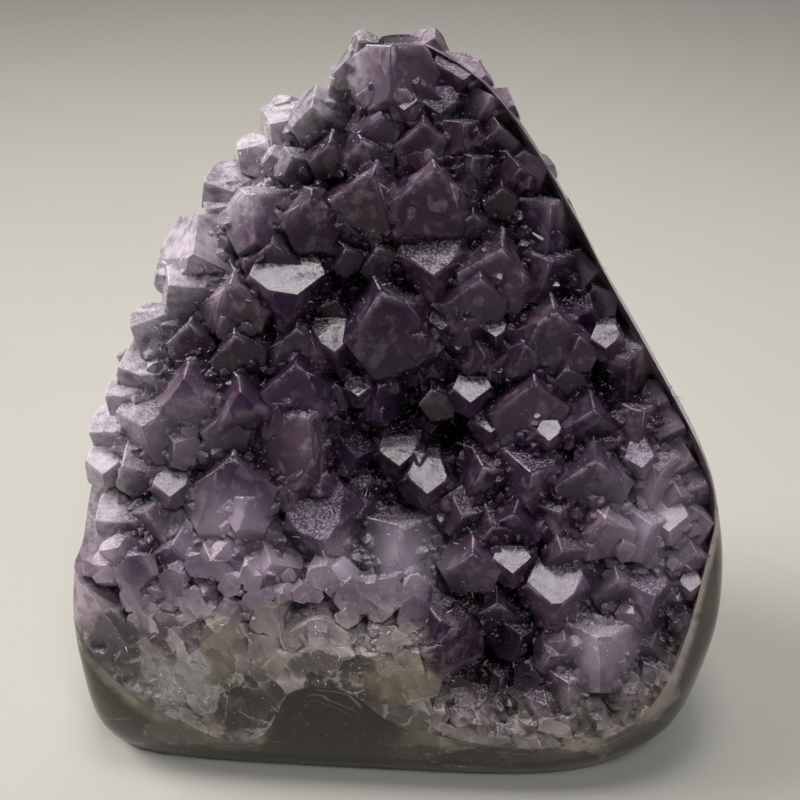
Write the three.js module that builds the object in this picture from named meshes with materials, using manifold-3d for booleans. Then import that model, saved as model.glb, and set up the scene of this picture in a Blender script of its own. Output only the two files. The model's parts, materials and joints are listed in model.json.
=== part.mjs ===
// Amethyst cluster: a wedge sawn from a geode, standing on its flat sawn base. A druse of amethyst points
// covers the leaning front, and an agate rind, ground round and polished, wraps its back, sides and foot.
// Millimetres. +X is right, +Y back and +Z up. Every crystal is placed along a line of sight: x and t are where
// it is seen on the seen plane, a plane that leans back with its foot on the floor, and n is how far in front of
// that plane it lies.
import * as THREE from "three";
import { mergeVertices } from "three/addons/utils/BufferGeometryUtils.js";
import Module from "manifold-3d";

const wasm = await Module();
wasm.setup();

// Driving dimensions
const SEEN_LEAN = 35; // degrees that the seen plane leans back from upright
const EYE_HEIGHT = 75; // up the seen plane, the point that the eye looks at
const EYE_DISTANCE = 246; // from the eye to the seen plane
const STONE_HEIGHT = 127;
const BASE_CHAMFER = 1.4;
const RING_POINTS = 40;
const BACK_ROUNDNESS = 2.3; // superellipse power of the back of each level section
const LEFT_SQUARENESS = 5; // and of its front's left corner
const RIGHT_SQUARENESS = 3.3; // and of its right
const FRONT_TURN = 0.062; // the front face turns this much to the left
const POINT_CLEARANCE = 8; // how far points may stand out of the stone's left edge and top
const CLEARANCE_START = 48; // the height at which the left edge starts to have points
const CLEARANCE_FULL = 72; // and at which they may stand out fully
const TOP_START = 100; // the height from which the room for points grows upward too

// Heights in front of the seen plane, and thicknesses
const DRUSE_FOOT = 14; // the points' mean height at the floor
const DRUSE_RISE = 0.12; // and its gain for each millimetre up
const LEFT_FALL = 8; // how far the druse falls back at its left side
const RIGHT_FALL = 5; // and at its right
const RIM_LIMIT = 1.05; // of the druse's half width, beyond which it falls no further
const FOOT_SEEN = 8; // the height above the floor that is seen at the seen plane's foot
const SEEN_GAIN = 0.86; // and how much higher each millimetre up the plane is
const ROOT_DEPTH = 9; // from the points' mean height down to the ground between them
const ROOT_SLOPE = 1.4; // of the ground where it rises to the polish
const CRUST_THICKNESS = 23; // in the middle, from the points' mean height down to the rind
const RIM_THICKNESS = 14; // and at the sides
const LIP_HEIGHT = 8; // of the rind's front lip at the floor
const LIP_RISE = 0.35; // and its gain for each millimetre up, to the lip's top
const LIP_TOP = 16;
const LIP_SLOPE = 2.4; // how fast the lip ends above the rind's edge
const JOINT_GAP = 0.4; // between the crust and the rind

// Quartz points
const FACE_ANGLE = 51.8; // degrees between a quartz point's axis and the normal of its end faces
const OVERLAP = 1.15; // how much wider a point is than the part of it that its neighbours leave bare
const SIDE_REACH = [0.9, 1.16]; // of the six sides from the axis, in sizes
const LARGE_FACE_BACK = [0, 0.1]; // how far the three larger end faces lie behind the tip, in sizes
const SMALL_FACE_BACK = [0.12, 0.52]; // and the three smaller ones
const SIMPLE_SIZE = 5.5; // points smaller than this end in three faces, and larger ones in six
const SIZE_STEP = 0.4; // how far a point's tip rises for each millimetre of size over SIMPLE_SIZE
const TIP_SHIFT = 0.8; // how far a lean moves a point's tip from its middle, in sizes
const ROOT_LENGTH = 13; // from a point's tip to its root, before its size
const ROOT_SIZES = 1.5; // and in sizes
const FILL_STEP = 7.4; // between the small points that fill in
const FILL_JITTER = 3.6;
const FILL_SIZE = [2.8, 4.6];
const FILL_LEAN = 18; // degrees either way
const FILL_UPWARD = 6; // degrees
const FILL_DEPTH = 2.5; // how far below the mean height their tips stay
const FILL_ROOM = 2.8; // that they need beside a listed point
const FILL_OVERLAP = 0.75; // of a listed point's size
const FILL_BELOW = 9; // how far below the polish's upper edge they go on, ground flat
const FILL_BELOW_RIGHT = 4; // and how far right they do

// The box in which surfaces over the seen plane are made: x, t and n, beyond the stone on every side.
const FIELD_X = 96;
const FIELD_T = [-24, 176];
const FIELD_N = 110;
const RIND_GRID = [8, 18.2]; // steps along x and t
const GROUND_GRID = [16, 12.5];

// The stone's outline: half widths, and the front, widest and back lines, at heights above the base.
const HEIGHTS = [0, 5, 10, 20, 30, 40, 50, 60, 70, 80, 90, 100, 110, 117, 122, 127];
const LEFT = [58, 61, 62.5, 63.5, 64, 63, 61, 56, 49.5, 45, 40.5, 33, 24, 17, 12, 5];
const RIGHT = [50, 55, 58.5, 61.3, 63, 62.8, 61, 58, 52, 45.7, 39, 33, 26.2, 20.5, 15, 5];
const FRONT = [1, -1, -2, -1, 2, 7, 12, 17, 22, 27, 31, 35, 40, 44, 48, 54];
const WIDEST = [20, 21, 22, 23, 23.5, 24, 24, 25, 28, 32, 36, 41, 47, 52, 56, 61];
const BACK = [62, 65, 68, 72, 75, 77, 78, 79, 79, 79, 79, 78, 77, 75, 73, 68];

// Along x: where the rind ends on the polished front, and where the polish gives way to natural points.
const EDGE_X = [-66, -60, -50, -42, -34, -27, -22, -10, -3, 6, 16, 26, 36, 46, 53, 58, 62, 66];
const RIND_EDGE = [30, 20, 12, 8, 5, 7, 16, 16, 11, 8, 6, 5, 6, 9, 17, 30, 46, 62];
const POLISH_X = [-66, -58, -52, -46, -38, -32, -24, -16, -8, 0, 4, 7, 16, 30, 45, 55, 60, 66];
const POLISH_EDGE = [50, 40, 34, 36, 39, 34, 33, 37, 33, 35, 32, 18, 13, 11, 14, 24, 40, 62];

// Hollows and swellings of the druse: x, t, half width, half height, depth.
const SWELLS = [
  [2, 72, 26, 24, -7],
  [2, 62, 15, 8, -9],
  [16, 20, 9, 9, -13],
  [21, 38, 8, 10, -5],
  [-30, 48, 26, 14, -3.5],
  [42, 30, 12, 14, -2],
];

// The points: x, t, size, lean to the right, lean upward, turn about the axis, extra height. The place is the
// middle of what shows, and size is its half width. Leans and turns are degrees from the line of sight.
const POINTS = [
  [-0.8, 141.4, 6.4, 0, 26, 90, 0],
  [0.8, 133.8, 2.2, 0, -26, 90, 1.5],
  [5.6, 145, 4.4, 10, 0, 30, -4],
  [-9.6, 142.6, 3.6, -20, 5, 20, -1],
  [-12.4, 138, 3.2, -30, 0, 50, -2],
  [-17, 133, 4.8, -8, 8, 30, 0],
  [-24, 130, 5, -25, 0, 75, 0],
  [-30.4, 124.6, 3.6, -35, 5, 75, -1],
  [-25.2, 123.8, 2.4, -10, 10, 30, -1],
  [-36.5, 118, 4.2, -38, 5, 40, -2],
  [-37, 112.5, 3.4, -30, 15, 80, -2],
  [-28.4, 113.6, 6.8, -6, 22, 90, 1],
  [-18, 113.6, 5.8, 4, 22, 30, 0],
  [-21.6, 123, 3, 0, 15, 60, -1],
  [-14, 125.4, 4, -5, 15, 30, -1],
  [-6, 118.6, 7, 0, 14, 20, 1],
  [-4.4, 131, 4.2, 6, 18, 30, 0],
  [-7.6, 125.6, 4.6, -4, 18, 50, 0],
  [11.6, 139.8, 4, 18, -14, 90, 0],
  [16, 140, 2.6, 25, 0, 40, -1],
  [4.4, 137.6, 3.8, 0, 22, 30, -1],
  [8, 133.4, 3.4, 4, -20, 90, -1],
  [17.4, 134.4, 4.2, 14, 20, 60, 0],
  [21, 134, 3.4, 30, 0, 30, -1],
  [4.4, 129, 4.4, 2, 22, 30, 0],
  [12, 129.4, 4, 8, 20, 90, 0],
  [19, 129, 4.4, 12, 16, 40, 0],
  [0.4, 125, 2.6, 10, 0, 25, -5],
  [6.6, 119, 7.2, 6, 24, 30, 1],
  [13.6, 122.6, 4.4, 8, 18, 80, -1],
  [17.4, 118.6, 3.4, -6, 0, 35, -4],
  [23, 121, 4, 14, 12, 50, 0],
  [28, 121.6, 4, 28, 5, 75, 0],
  [20.4, 116.4, 3.2, 0, 20, 30, -1],
  [29, 112.6, 6.2, 12, 20, 90, 1],
  [14.6, 111.4, 4.6, -4, 15, 30, -2],
  [20, 103.8, 6.8, 6, 18, 20, 1],
  [7.2, 101.8, 6.8, -2, -18, 90, 1],
  [15.6, 98.2, 6.8, 4, 14, 30, 1],
  [-11, 104.6, 3, 0, 20, 60, -1],
  [-11, 110.6, 3.8, -12, 14, 20, -2],
  [-2.4, 110, 4.2, -6, 10, 70, -3],
  [5.6, 110, 3.6, 8, 12, 95, -2],
  [-4, 105, 4.6, -6, 14, 50, -2],
  [-25.2, 105.6, 5, 0, 18, 30, -1],
  [-40, 104.6, 7.2, -6, -6, 30, 1.5],
  [-44, 97.4, 6.2, -22, 6, 60, 0],
  [-50, 89, 5.6, -38, 8, 88, -1],
  [-53, 81, 5, -40, 8, 40, -1],
  [-42, 88.4, 4.4, -6, 30, 30, -2],
  [-33.6, 96, 5.8, -4, 20, 30, 0],
  [-22.8, 97, 6.6, 4, -22, 90, 1.5],
  [-21, 87.4, 6, 0, 24, 30, -1],
  [-33, 86.4, 5.2, -6, 18, 40, -1],
  [-13, 94, 3.4, 8, 20, 10, -3],
  [-3.2, 93.4, 8.2, -4, 24, 50, 1],
  [-13, 85.8, 4.4, 3, -20, 95, 1],
  [9, 93, 2.3, -2, -21, 90, 1],
  [8.4, 89.8, 2.3, -2, -21, 90, 1.5],
  [16.2, 84.6, 4.6, 14, -10, 60, 0],
  [22.4, 84.2, 4.4, 6, 18, 30, -1],
  [19, 88.4, 2.6, -4, -21, 90, 0.5],
  [8, 84.4, 4.4, 8, 18, 30, -2],
  [31, 90.4, 7.6, 2, 22, 30, 1],
  [29, 101.6, 5.6, 8, 10, 80, 0],
  [28.4, 107.4, 2, -5, -21, 90, 0.5],
  [38, 101.4, 3.8, 30, 0, 60, 0],
  [37.4, 92.4, 3.4, 20, 8, 20, 0],
  [42, 95.6, 3.4, 32, 10, 95, 0],
  [45, 82.4, 6.4, 4, 2, 96, 1],
  [26.8, 76, 7.6, -2, 24, 30, 0],
  [28.6, 84, 3.6, -4, -8, 90, -1],
  [33.6, 80, 4, -8, 20, 45, -1],
  [38.6, 72.4, 5.4, 4, 14, 30, 0],
  [47.6, 71, 5.8, 12, 20, 88, 0],
  [52.4, 75, 3, 28, 0, 30, 0],
  [55, 69.6, 4, 32, 0, 30, 0],
  [14.2, 75.4, 3.4, -3, -20, 88, 3],
  [7, 76.4, 3.6, -12, 16, 40, -1],
  [-4.6, 77, 5.2, 4, 16, 80, -1],
  [-8.4, 76.4, 2.6, 2, -19, 90, 2],
  [-5, 83.4, 5, 8, 14, 60, -1],
  [-21, 79.6, 7, 2, 26, 30, 0],
  [-43, 76.8, 5.8, -8, 6, 30, 1],
  [-50.6, 70, 6, -6, -2, 98, 1],
  [-31.8, 74.6, 6, 4, 4, 40, 1],
  [-56, 75.4, 4, -40, 0, 60, -1],
  [-59, 68.5, 4.2, -40, -5, 60, -1],
  [-20.4, 68.6, 8, 22, 16, 100, 1],
  [-20.6, 59.6, 5.2, 10, 16, 30, 0],
  [-35.2, 70.6, 4.4, -4, 22, 30, -1],
  [-44.6, 66, 3.6, -12, 14, 80, -1],
  [-38.4, 65.8, 4, -6, 16, 20, -3],
  [-45, 59.4, 3, -10, 0, 70, -5],
  [-34, 59.4, 8, 0, 34, 30, -1],
  [-33.6, 50.6, 9.4, -2, 26, 30, -1.5],
  [-57.4, 50.6, 5.6, -34, 5, 60, -1],
  [-60, 61, 3.4, 10, -18, 90, 1],
  [-50, 51.4, 5.4, -14, 14, 0, -1],
  [-46.4, 56.8, 3.4, 8, -17, 90, 0.5],
  [-54, 61.5, 5, -22, 4, 45, 0],
  [0, 63, 3.6, 0, -19, 92, 6],
  [5.4, 57.4, 4.2, -1, -18, 86, 6],
  [-10, 64, 4.4, 18, -6, 70, 0],
  [18.2, 69.4, 3.2, -3, -18, 92, 1],
  [17.6, 60.6, 6.6, -10, 16, 60, 0],
  [22, 69, 3.4, 0, 6, 40, -1],
  [29, 68.6, 4.6, -2, 14, 30, -1],
  [27, 60.4, 7.6, -10, 6, 80, 1],
  [39.4, 60.8, 7.4, -4, 18, 30, 1],
  [51.6, 61, 6.2, 6, 2, 84, 1],
  [57, 63, 3.6, 26, 0, 40, 0],
  [41.6, 49.8, 5.6, -8, 14, 40, 1],
  [49.6, 49, 5.8, 8, 10, 75, 1],
  [54.4, 49.6, 3.4, -10, -16, 92, 1.5],
  [24, 51.4, 5.4, -12, 12, 20, 0],
  [32, 51.6, 4.4, -2, 12, 95, 0],
  [33, 45.4, 4.4, -10, -6, 50, 0],
  [34, 40.6, 4.2, -8, 20, 30, -3],
  [22.8, 40.8, 3.4, -4, -15, 92, 4],
  [18.6, 49, 4.4, -8, 10, 50, 0],
  [15, 43, 5.4, -4, 18, 30, 1],
  [31.8, 35, 5.8, -6, -15, 88, 2],
  [40.6, 25.4, 7.8, 0, 14, 90, 2],
  [50, 35.4, 5.6, 8, 6, 90, 1],
  [43.4, 38.6, 4.4, 0, 10, 40, 0],
  [30.4, 23.8, 3.2, -14, 6, 60, 0],
  [34.4, 17.6, 4.8, -8, 14, 88, 0],
  [19, 33.4, 5.4, 0, 12, 30, -1],
  [7.8, 28.4, 8, 12, 12, 60, 2],
  [24, 27.4, 4.4, 2, 6, 80, -2],
  [-15, 48.4, 6.8, 4, -16, 108, 2],
  [0, 45.4, 9.6, 0, 30, 90, -2.5],
  [12.6, 52, 4, -6, -4, 60, 0],
  [-26, 42, 5.4, 6, 8, 50, 0],
  [-38, 42, 5, 0, 10, 60, 0],
  [-45, 45, 5, -10, 14, 15, 0],
  [58.4, 37.2, 2.2, -11, -15, 90, 1],
  [48.6, 62.4, 2.8, -9, -18, 98, 3],
  [30, 67.4, 2.2, -6, -19, 90, 2],
  [41.4, 86, 2.6, -8, -19, 90, 4],
];

// A value within a range that depends only on the two whole numbers.
function chance(i, k, [low, high]) {
  const s = Math.sin(i * 12.9898 + k * 78.233) * 43758.5453;
  return low + (high - low) * (s - Math.floor(s));
}

// The value at x of a smooth curve through the points (xs, ys).
function along(xs, ys, x) {
  const last = xs.length - 1;
  const at = Math.min(Math.max(x, xs[0]), xs[last]);
  let i = 0;
  while (i < last - 1 && at > xs[i + 1]) i += 1;
  const slope = (k) => {
    const a = Math.max(k - 1, 0);
    const b = Math.min(k + 1, last);
    return (ys[b] - ys[a]) / (xs[b] - xs[a]);
  };
  const w = xs[i + 1] - xs[i];
  const s = (at - xs[i]) / w;
  const h = s * s * (3 - 2 * s);
  return (
    ys[i] * (1 - h) + ys[i + 1] * h +
    slope(i) * w * s * (1 - s) * (1 - s) - slope(i + 1) * w * s * s * (1 - s)
  );
}

// The seen plane's own directions in the stone's frame.
const lean = THREE.MathUtils.degToRad(SEEN_LEAN);
const UPWARD = new THREE.Vector3(0, Math.sin(lean), Math.cos(lean));
const TOWARD_EYE = new THREE.Vector3(0, -Math.cos(lean), Math.sin(lean));

// The point seen at (x, t) on the seen plane that lies n in front of it.
function seen(x, t, n) {
  const shrink = 1 - n / EYE_DISTANCE;
  return new THREE.Vector3(x * shrink, 0, 0)
    .addScaledVector(UPWARD, EYE_HEIGHT + (t - EYE_HEIGHT) * shrink)
    .addScaledVector(TOWARD_EYE, n);
}

// How far in front of the seen plane the druse stands on the whole.
function druseHeight(x, t) {
  const swell = SWELLS.reduce((sum, [sx, st, w, h, d]) => {
    return sum + d * Math.exp(-(((x - sx) / w) ** 2) - ((t - st) / h) ** 2);
  }, 0);
  const width = halfWidth(x, t);
  const rim = Math.min(Math.abs(x) / width, RIM_LIMIT);
  const fall = x < 0 ? LEFT_FALL : RIGHT_FALL;
  return DRUSE_FOOT + DRUSE_RISE * t + swell - fall * rim ** 5;
}

// The druse's half width at (x, t), from the stone's outline at about the height seen there.
function halfWidth(x, t) {
  const z = FOOT_SEEN + SEEN_GAIN * t;
  return x < 0 ? along(HEIGHTS, LEFT, z) + clearance(z) : along(HEIGHTS, RIGHT, z);
}

// The ground between the points, which rises out of the stone below the polish's upper edge.
function rootHeight(x, t) {
  const below = Math.max(along(POLISH_X, POLISH_EDGE, x) - t, 0);
  return druseHeight(x, t) - ROOT_DEPTH + ROOT_SLOPE * below;
}

// The face on which the crust sits in the rind.
function rindHeight(x, t) {
  const rim = Math.min(Math.abs(x) / halfWidth(x, t), 1);
  const fall = x < 0 ? LEFT_FALL : RIGHT_FALL;
  const thickness = RIM_THICKNESS + (CRUST_THICKNESS - RIM_THICKNESS) * (1 - rim ** 3);
  const bowl = DRUSE_FOOT + DRUSE_RISE * t - fall * rim ** 5 - thickness;
  const edge = along(EDGE_X, RIND_EDGE, x);
  const lip = LIP_HEIGHT + LIP_RISE * Math.min(edge, LIP_TOP) + LIP_SLOPE * (edge - t);
  return Math.max(bowl, lip);
}

// How far points may stand out of the stone's left edge at one height.
function clearance(z) {
  return POINT_CLEARANCE * THREE.MathUtils.smoothstep(z, CLEARANCE_START, CLEARANCE_FULL);
}

// A solid from points and triangles.
function solid(points, triangles) {
  const geometry = new THREE.BufferGeometry();
  const flat = points.flatMap((p) => [p.x, p.y, p.z]);
  geometry.setAttribute("position", new THREE.Float32BufferAttribute(flat, 3));
  geometry.setIndex(triangles.flat());
  const merged = mergeVertices(geometry, 1e-4);
  return new wasm.Manifold(
    new wasm.Mesh({
      numProp: 3,
      vertProperties: merged.attributes.position.array,
      triVerts: new Uint32Array(merged.index.array),
    }),
  );
}

// A closed solid through rings of equally many points, from the lowest to the highest.
function loft(rings) {
  const count = rings[0].length;
  const points = rings.flat();
  const triangles = [];
  for (let r = 0; r + 1 < rings.length; r += 1) {
    for (let i = 0; i < count; i += 1) {
      const j = (i + 1) % count;
      const [a, b, c, d] = [r * count + i, r * count + j, (r + 1) * count + j, (r + 1) * count + i];
      triangles.push([a, b, c], [a, c, d]);
    }
  }
  [0, rings.length - 1].forEach((r) => {
    const middle = rings[r].reduce((sum, p) => sum.add(p), new THREE.Vector3()).divideScalar(count);
    points.push(middle);
    for (let i = 0; i < count; i += 1) {
      const [a, b] = [r * count + i, r * count + ((i + 1) % count)];
      triangles.push(r === 0 ? [points.length - 1, b, a] : [points.length - 1, a, b]);
    }
  });
  return solid(points, triangles);
}

// The level section of the stone at one height, inset by the chamfer at the base.
function section(z, inset, room) {
  const at = (ys) => along(HEIGHTS, ys, z);
  const left = at(LEFT) - inset + (room ? clearance(z) : 0);
  const right = at(RIGHT) - inset;
  const front = at(FRONT) + inset;
  const widest = at(WIDEST);
  const back = at(BACK) - inset;
  return Array.from({ length: RING_POINTS }, (_, i) => {
    const angle = (2 * Math.PI * i) / RING_POINTS;
    const [c, s] = [Math.cos(angle), Math.sin(angle)];
    const squareness = c < 0 ? LEFT_SQUARENESS : RIGHT_SQUARENESS;
    const power = 2 / (s > 0 ? BACK_ROUNDNESS : squareness);
    const x = Math.sign(c) * Math.abs(c) ** power * (c > 0 ? right : left);
    const y = widest + Math.sign(s) * Math.abs(s) ** power * (s > 0 ? back - widest : widest - front);
    return new THREE.Vector3(x, y - (s < 0 ? FRONT_TURN * x * Math.abs(s) : 0), z);
  });
}

// The whole ground and polished stone, with or without room for points outside its left edge and top.
function stone(room) {
  const levels = [7, 17, 30, 45, 60, 75, 90, 102, 112, 120, STONE_HEIGHT];
  const lift = (z) => {
    return z + (room ? POINT_CLEARANCE * Math.max((z - TOP_START) / (STONE_HEIGHT - TOP_START), 0) : 0);
  };
  const rings = [section(0, BASE_CHAMFER, false), section(BASE_CHAMFER, 0, false)];
  levels.forEach((z) => {
    const ring = section(z, 0, room);
    ring.forEach((p) => {
      p.z = lift(z);
    });
    rings.push(ring);
  });
  return loft(rings);
}

// Everything in front of a surface given by its height at (x, t), as a solid with a grid on that side.
function inFrontOf(heightAt, [stepX, stepT]) {
  const [t0, t1] = FIELD_T;
  const nx = Math.round((2 * FIELD_X) / stepX);
  const nt = Math.round((t1 - t0) / stepT);
  const points = [];
  const triangles = [];
  for (let side = 0; side < 2; side += 1) {
    for (let j = 0; j <= nt; j += 1) {
      for (let i = 0; i <= nx; i += 1) {
        const x = -FIELD_X + (2 * FIELD_X * i) / nx;
        const t = t0 + ((t1 - t0) * j) / nt;
        points.push(seen(x, t, side ? FIELD_N : Math.min(heightAt(x, t), FIELD_N - 1)));
      }
    }
  }
  const index = (side, i, j) => side * (nx + 1) * (nt + 1) + j * (nx + 1) + i;
  const quad = (a, b, c, d) => triangles.push([a, b, c], [a, c, d]);
  for (let j = 0; j < nt; j += 1) {
    for (let i = 0; i < nx; i += 1) {
      quad(index(0, i, j), index(0, i, j + 1), index(0, i + 1, j + 1), index(0, i + 1, j));
      quad(index(1, i, j), index(1, i + 1, j), index(1, i + 1, j + 1), index(1, i, j + 1));
    }
  }
  for (let i = 0; i < nx; i += 1) {
    quad(index(0, i, 0), index(0, i + 1, 0), index(1, i + 1, 0), index(1, i, 0));
    quad(index(0, i, nt), index(1, i, nt), index(1, i + 1, nt), index(0, i + 1, nt));
  }
  for (let j = 0; j < nt; j += 1) {
    quad(index(0, 0, j), index(1, 0, j), index(1, 0, j + 1), index(0, 0, j + 1));
    quad(index(0, nx, j), index(0, nx, j + 1), index(1, nx, j + 1), index(1, nx, j));
  }
  return solid(points, triangles);
}

// The convex solid inside planes, each a normal and an offset from the origin.
function convex(planes) {
  const corners = planes.map(() => []);
  const cross = new THREE.Vector3();
  for (let i = 0; i < planes.length; i += 1) {
    for (let j = i + 1; j < planes.length; j += 1) {
      for (let k = j + 1; k < planes.length; k += 1) {
        const [a, b, c] = [planes[i], planes[j], planes[k]];
        const det = a.normal.dot(cross.crossVectors(b.normal, c.normal));
        if (Math.abs(det) < 1e-6) continue;
        const p = new THREE.Vector3()
          .addScaledVector(new THREE.Vector3().crossVectors(b.normal, c.normal), a.offset)
          .addScaledVector(new THREE.Vector3().crossVectors(c.normal, a.normal), b.offset)
          .addScaledVector(new THREE.Vector3().crossVectors(a.normal, b.normal), c.offset)
          .divideScalar(det);
        if (planes.some((q) => q.normal.dot(p) > q.offset + 1e-6)) continue;
        [i, j, k].forEach((m) => {
          if (!corners[m].some((q) => q.distanceTo(p) < 1e-4)) corners[m].push(p);
        });
      }
    }
  }
  const points = [];
  const triangles = [];
  planes.forEach(({ normal }, m) => {
    if (corners[m].length < 3) return;
    const middle = corners[m].reduce((sum, p) => sum.add(p), new THREE.Vector3());
    middle.divideScalar(corners[m].length);
    const right = corners[m][0].clone().sub(middle).normalize();
    const up = new THREE.Vector3().crossVectors(normal, right);
    const bearing = (p) => Math.atan2(p.clone().sub(middle).dot(up), p.clone().sub(middle).dot(right));
    const loop = corners[m].slice().sort((p, q) => bearing(p) - bearing(q));
    const first = points.length;
    points.push(...loop);
    for (let i = 1; i + 1 < loop.length; i += 1) triangles.push([first, first + i, first + i + 1]);
  });
  return solid(points, triangles);
}

// One quartz point: a six-sided prism under a six-faced end, of which three faces are the larger.
function quartzPoint([x, t, bareSize, leanX, leanT, turn, extra], row) {
  const size = OVERLAP * bareSize;
  const [slopeX, slopeT] = [leanX, leanT].map((angle) => Math.tan(THREE.MathUtils.degToRad(angle)));
  const height = druseHeight(x, t) + extra + SIZE_STEP * (bareSize - SIMPLE_SIZE);
  const tip = seen(x + TIP_SHIFT * bareSize * slopeX, t + TIP_SHIFT * bareSize * slopeT, height);
  const axis = TOWARD_EYE.clone()
    .addScaledVector(new THREE.Vector3(1, 0, 0), slopeX)
    .addScaledVector(UPWARD, slopeT)
    .normalize();
  const up = UPWARD.clone().addScaledVector(axis, -UPWARD.dot(axis)).normalize();
  const side = new THREE.Vector3().crossVectors(up, axis);
  const slope = THREE.MathUtils.degToRad(FACE_ANGLE);
  const planes = [];
  const face = (normal, through) => planes.push({ normal, offset: normal.dot(through) });
  for (let k = 0; k < 6; k += 1) {
    const bearing = THREE.MathUtils.degToRad(turn + 60 * k);
    const outward = side.clone().multiplyScalar(Math.cos(bearing)).addScaledVector(up, Math.sin(bearing));
    face(outward, tip.clone().addScaledVector(outward, size * chance(row, k, SIDE_REACH)));
    if (k % 2 === 1 && bareSize < SIMPLE_SIZE) continue;
    const end = axis.clone().multiplyScalar(Math.cos(slope)).addScaledVector(outward, Math.sin(slope));
    const back = chance(row, k + 7, k % 2 === 0 ? LARGE_FACE_BACK : SMALL_FACE_BACK);
    face(end, tip.clone().addScaledVector(end, back * size));
  }
  face(axis.clone().negate(), tip.clone().addScaledVector(axis, -(ROOT_LENGTH + ROOT_SIZES * size)));
  return convex(planes);
}

// Small points for the places that the listed ones leave empty.
function fillers() {
  const rows = [];
  const jitter = [-FILL_JITTER / 2, FILL_JITTER / 2];
  const lean = [-FILL_LEAN, FILL_LEAN];
  for (let t = 4; t < 140; t += FILL_STEP) {
    for (let x = -62; x < 62; x += FILL_STEP) {
      const seed = 1000 + Math.round(t * 31 + x);
      const px = x + chance(seed, 1, jitter);
      const pt = t + chance(seed, 2, jitter);
      const low = along(POLISH_X, POLISH_EDGE, px) - (px < FILL_BELOW_RIGHT ? FILL_BELOW : 0);
      const outside = Math.abs(px) > halfWidth(px, pt) - 1 || pt < low;
      const near = ([qx, qt, size]) => Math.hypot(px - qx, pt - qt) < FILL_OVERLAP * size + FILL_ROOM;
      if (outside || POINTS.some(near)) continue;
      const leanT = FILL_UPWARD + chance(seed, 5, lean);
      const turn = chance(seed, 6, [0, 120]);
      rows.push([px, pt, chance(seed, 3, FILL_SIZE), chance(seed, 4, lean), leanT, turn, -FILL_DEPTH]);
    }
  }
  return rows;
}

const body = stone(false);
const limit = stone(true);
const points = [...POINTS, ...fillers()].map(quartzPoint);
const ground = body.subtract(inFrontOf(rootHeight, GROUND_GRID));
const crusted = wasm.Manifold.union([ground, ...points]).intersect(limit);
const crust = crusted.intersect(inFrontOf((x, t) => rindHeight(x, t) + JOINT_GAP / 2, RIND_GRID));
const rind = body.subtract(inFrontOf((x, t) => rindHeight(x, t) - JOINT_GAP / 2, RIND_GRID));

// The largest body of a solid, without the crumbs that a cut may leave.
function largest(cut) {
  return cut.decompose().reduce((best, piece) => (piece.volume() > best.volume() ? piece : best));
}

// A mesh of a solid, named and coloured.
function mesh(name, shape, colour, roughness) {
  const { numProp, vertProperties, triVerts } = shape.getMesh();
  const flat = new THREE.BufferGeometry();
  const interleaved = new THREE.InterleavedBuffer(new Float32Array(vertProperties), numProp);
  flat.setAttribute("position", new THREE.InterleavedBufferAttribute(interleaved, 3, 0));
  flat.setIndex(new THREE.BufferAttribute(new Uint32Array(triVerts), 1));
  const geometry = flat.toNonIndexed();
  geometry.computeVertexNormals();
  const made = new THREE.Mesh(geometry, new THREE.MeshStandardMaterial({ color: colour, roughness }));
  made.name = name;
  return made;
}

const cluster = new THREE.Group();
cluster.add(mesh("amethyst_crust", largest(crust), 0x6b5078, 0.2));
cluster.add(mesh("agate_rind", largest(rind), 0x6e6a5f, 0.3));

// The origin is the middle of the box around the stone, at its base.
const box = new THREE.Box3().setFromObject(cluster);
const middle = box.getCenter(new THREE.Vector3());
cluster.position.set(-middle.x, -middle.y, -box.min.z);

export default cluster;
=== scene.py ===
"""Looks of the amethyst cluster: a druse of quartz points in an agate rind, on its sawn base.

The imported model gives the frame, and its crust and rind give the places and the sizes. Both are made
again here with finer outlines, chamfered points, parallel growths and small crystals in the crevices.
Lengths are in millimetres while a shape is made, and each finished mesh is in metres, in the frame's own
axes.
"""

from __future__ import annotations

import json
import logging
import math
from dataclasses import dataclass, field
from enum import Enum
from itertools import combinations
from typing import Callable, Iterable, Sequence, Union

import bmesh
import bpy
import numpy as np
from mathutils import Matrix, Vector
from mathutils.bvhtree import BVHTree

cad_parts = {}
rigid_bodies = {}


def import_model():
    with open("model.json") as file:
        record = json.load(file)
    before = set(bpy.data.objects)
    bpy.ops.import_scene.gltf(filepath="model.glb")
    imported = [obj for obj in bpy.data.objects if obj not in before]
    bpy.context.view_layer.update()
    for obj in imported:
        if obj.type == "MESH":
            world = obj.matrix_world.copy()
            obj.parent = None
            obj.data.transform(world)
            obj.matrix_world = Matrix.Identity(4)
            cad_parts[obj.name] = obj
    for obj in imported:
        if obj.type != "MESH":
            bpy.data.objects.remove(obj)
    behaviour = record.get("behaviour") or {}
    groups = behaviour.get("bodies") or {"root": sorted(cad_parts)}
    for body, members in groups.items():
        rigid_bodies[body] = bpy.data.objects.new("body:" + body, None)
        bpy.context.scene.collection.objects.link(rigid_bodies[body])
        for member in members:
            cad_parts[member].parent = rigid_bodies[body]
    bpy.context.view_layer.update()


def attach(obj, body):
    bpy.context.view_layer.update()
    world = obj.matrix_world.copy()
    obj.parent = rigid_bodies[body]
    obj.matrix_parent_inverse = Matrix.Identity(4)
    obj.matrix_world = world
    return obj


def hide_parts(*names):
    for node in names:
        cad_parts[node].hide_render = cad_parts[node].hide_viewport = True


LOG = logging.getLogger("amethyst")
MM = 0.001
Array = np.ndarray
Number = Union[float, "Value"]


class Joining(Enum):
    """The ways in which one solid is combined with others, by the names that the boolean gives them."""

    ADD = "UNION"
    TAKE_AWAY = "DIFFERENCE"
    KEEP_SHARED = "INTERSECT"


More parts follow.
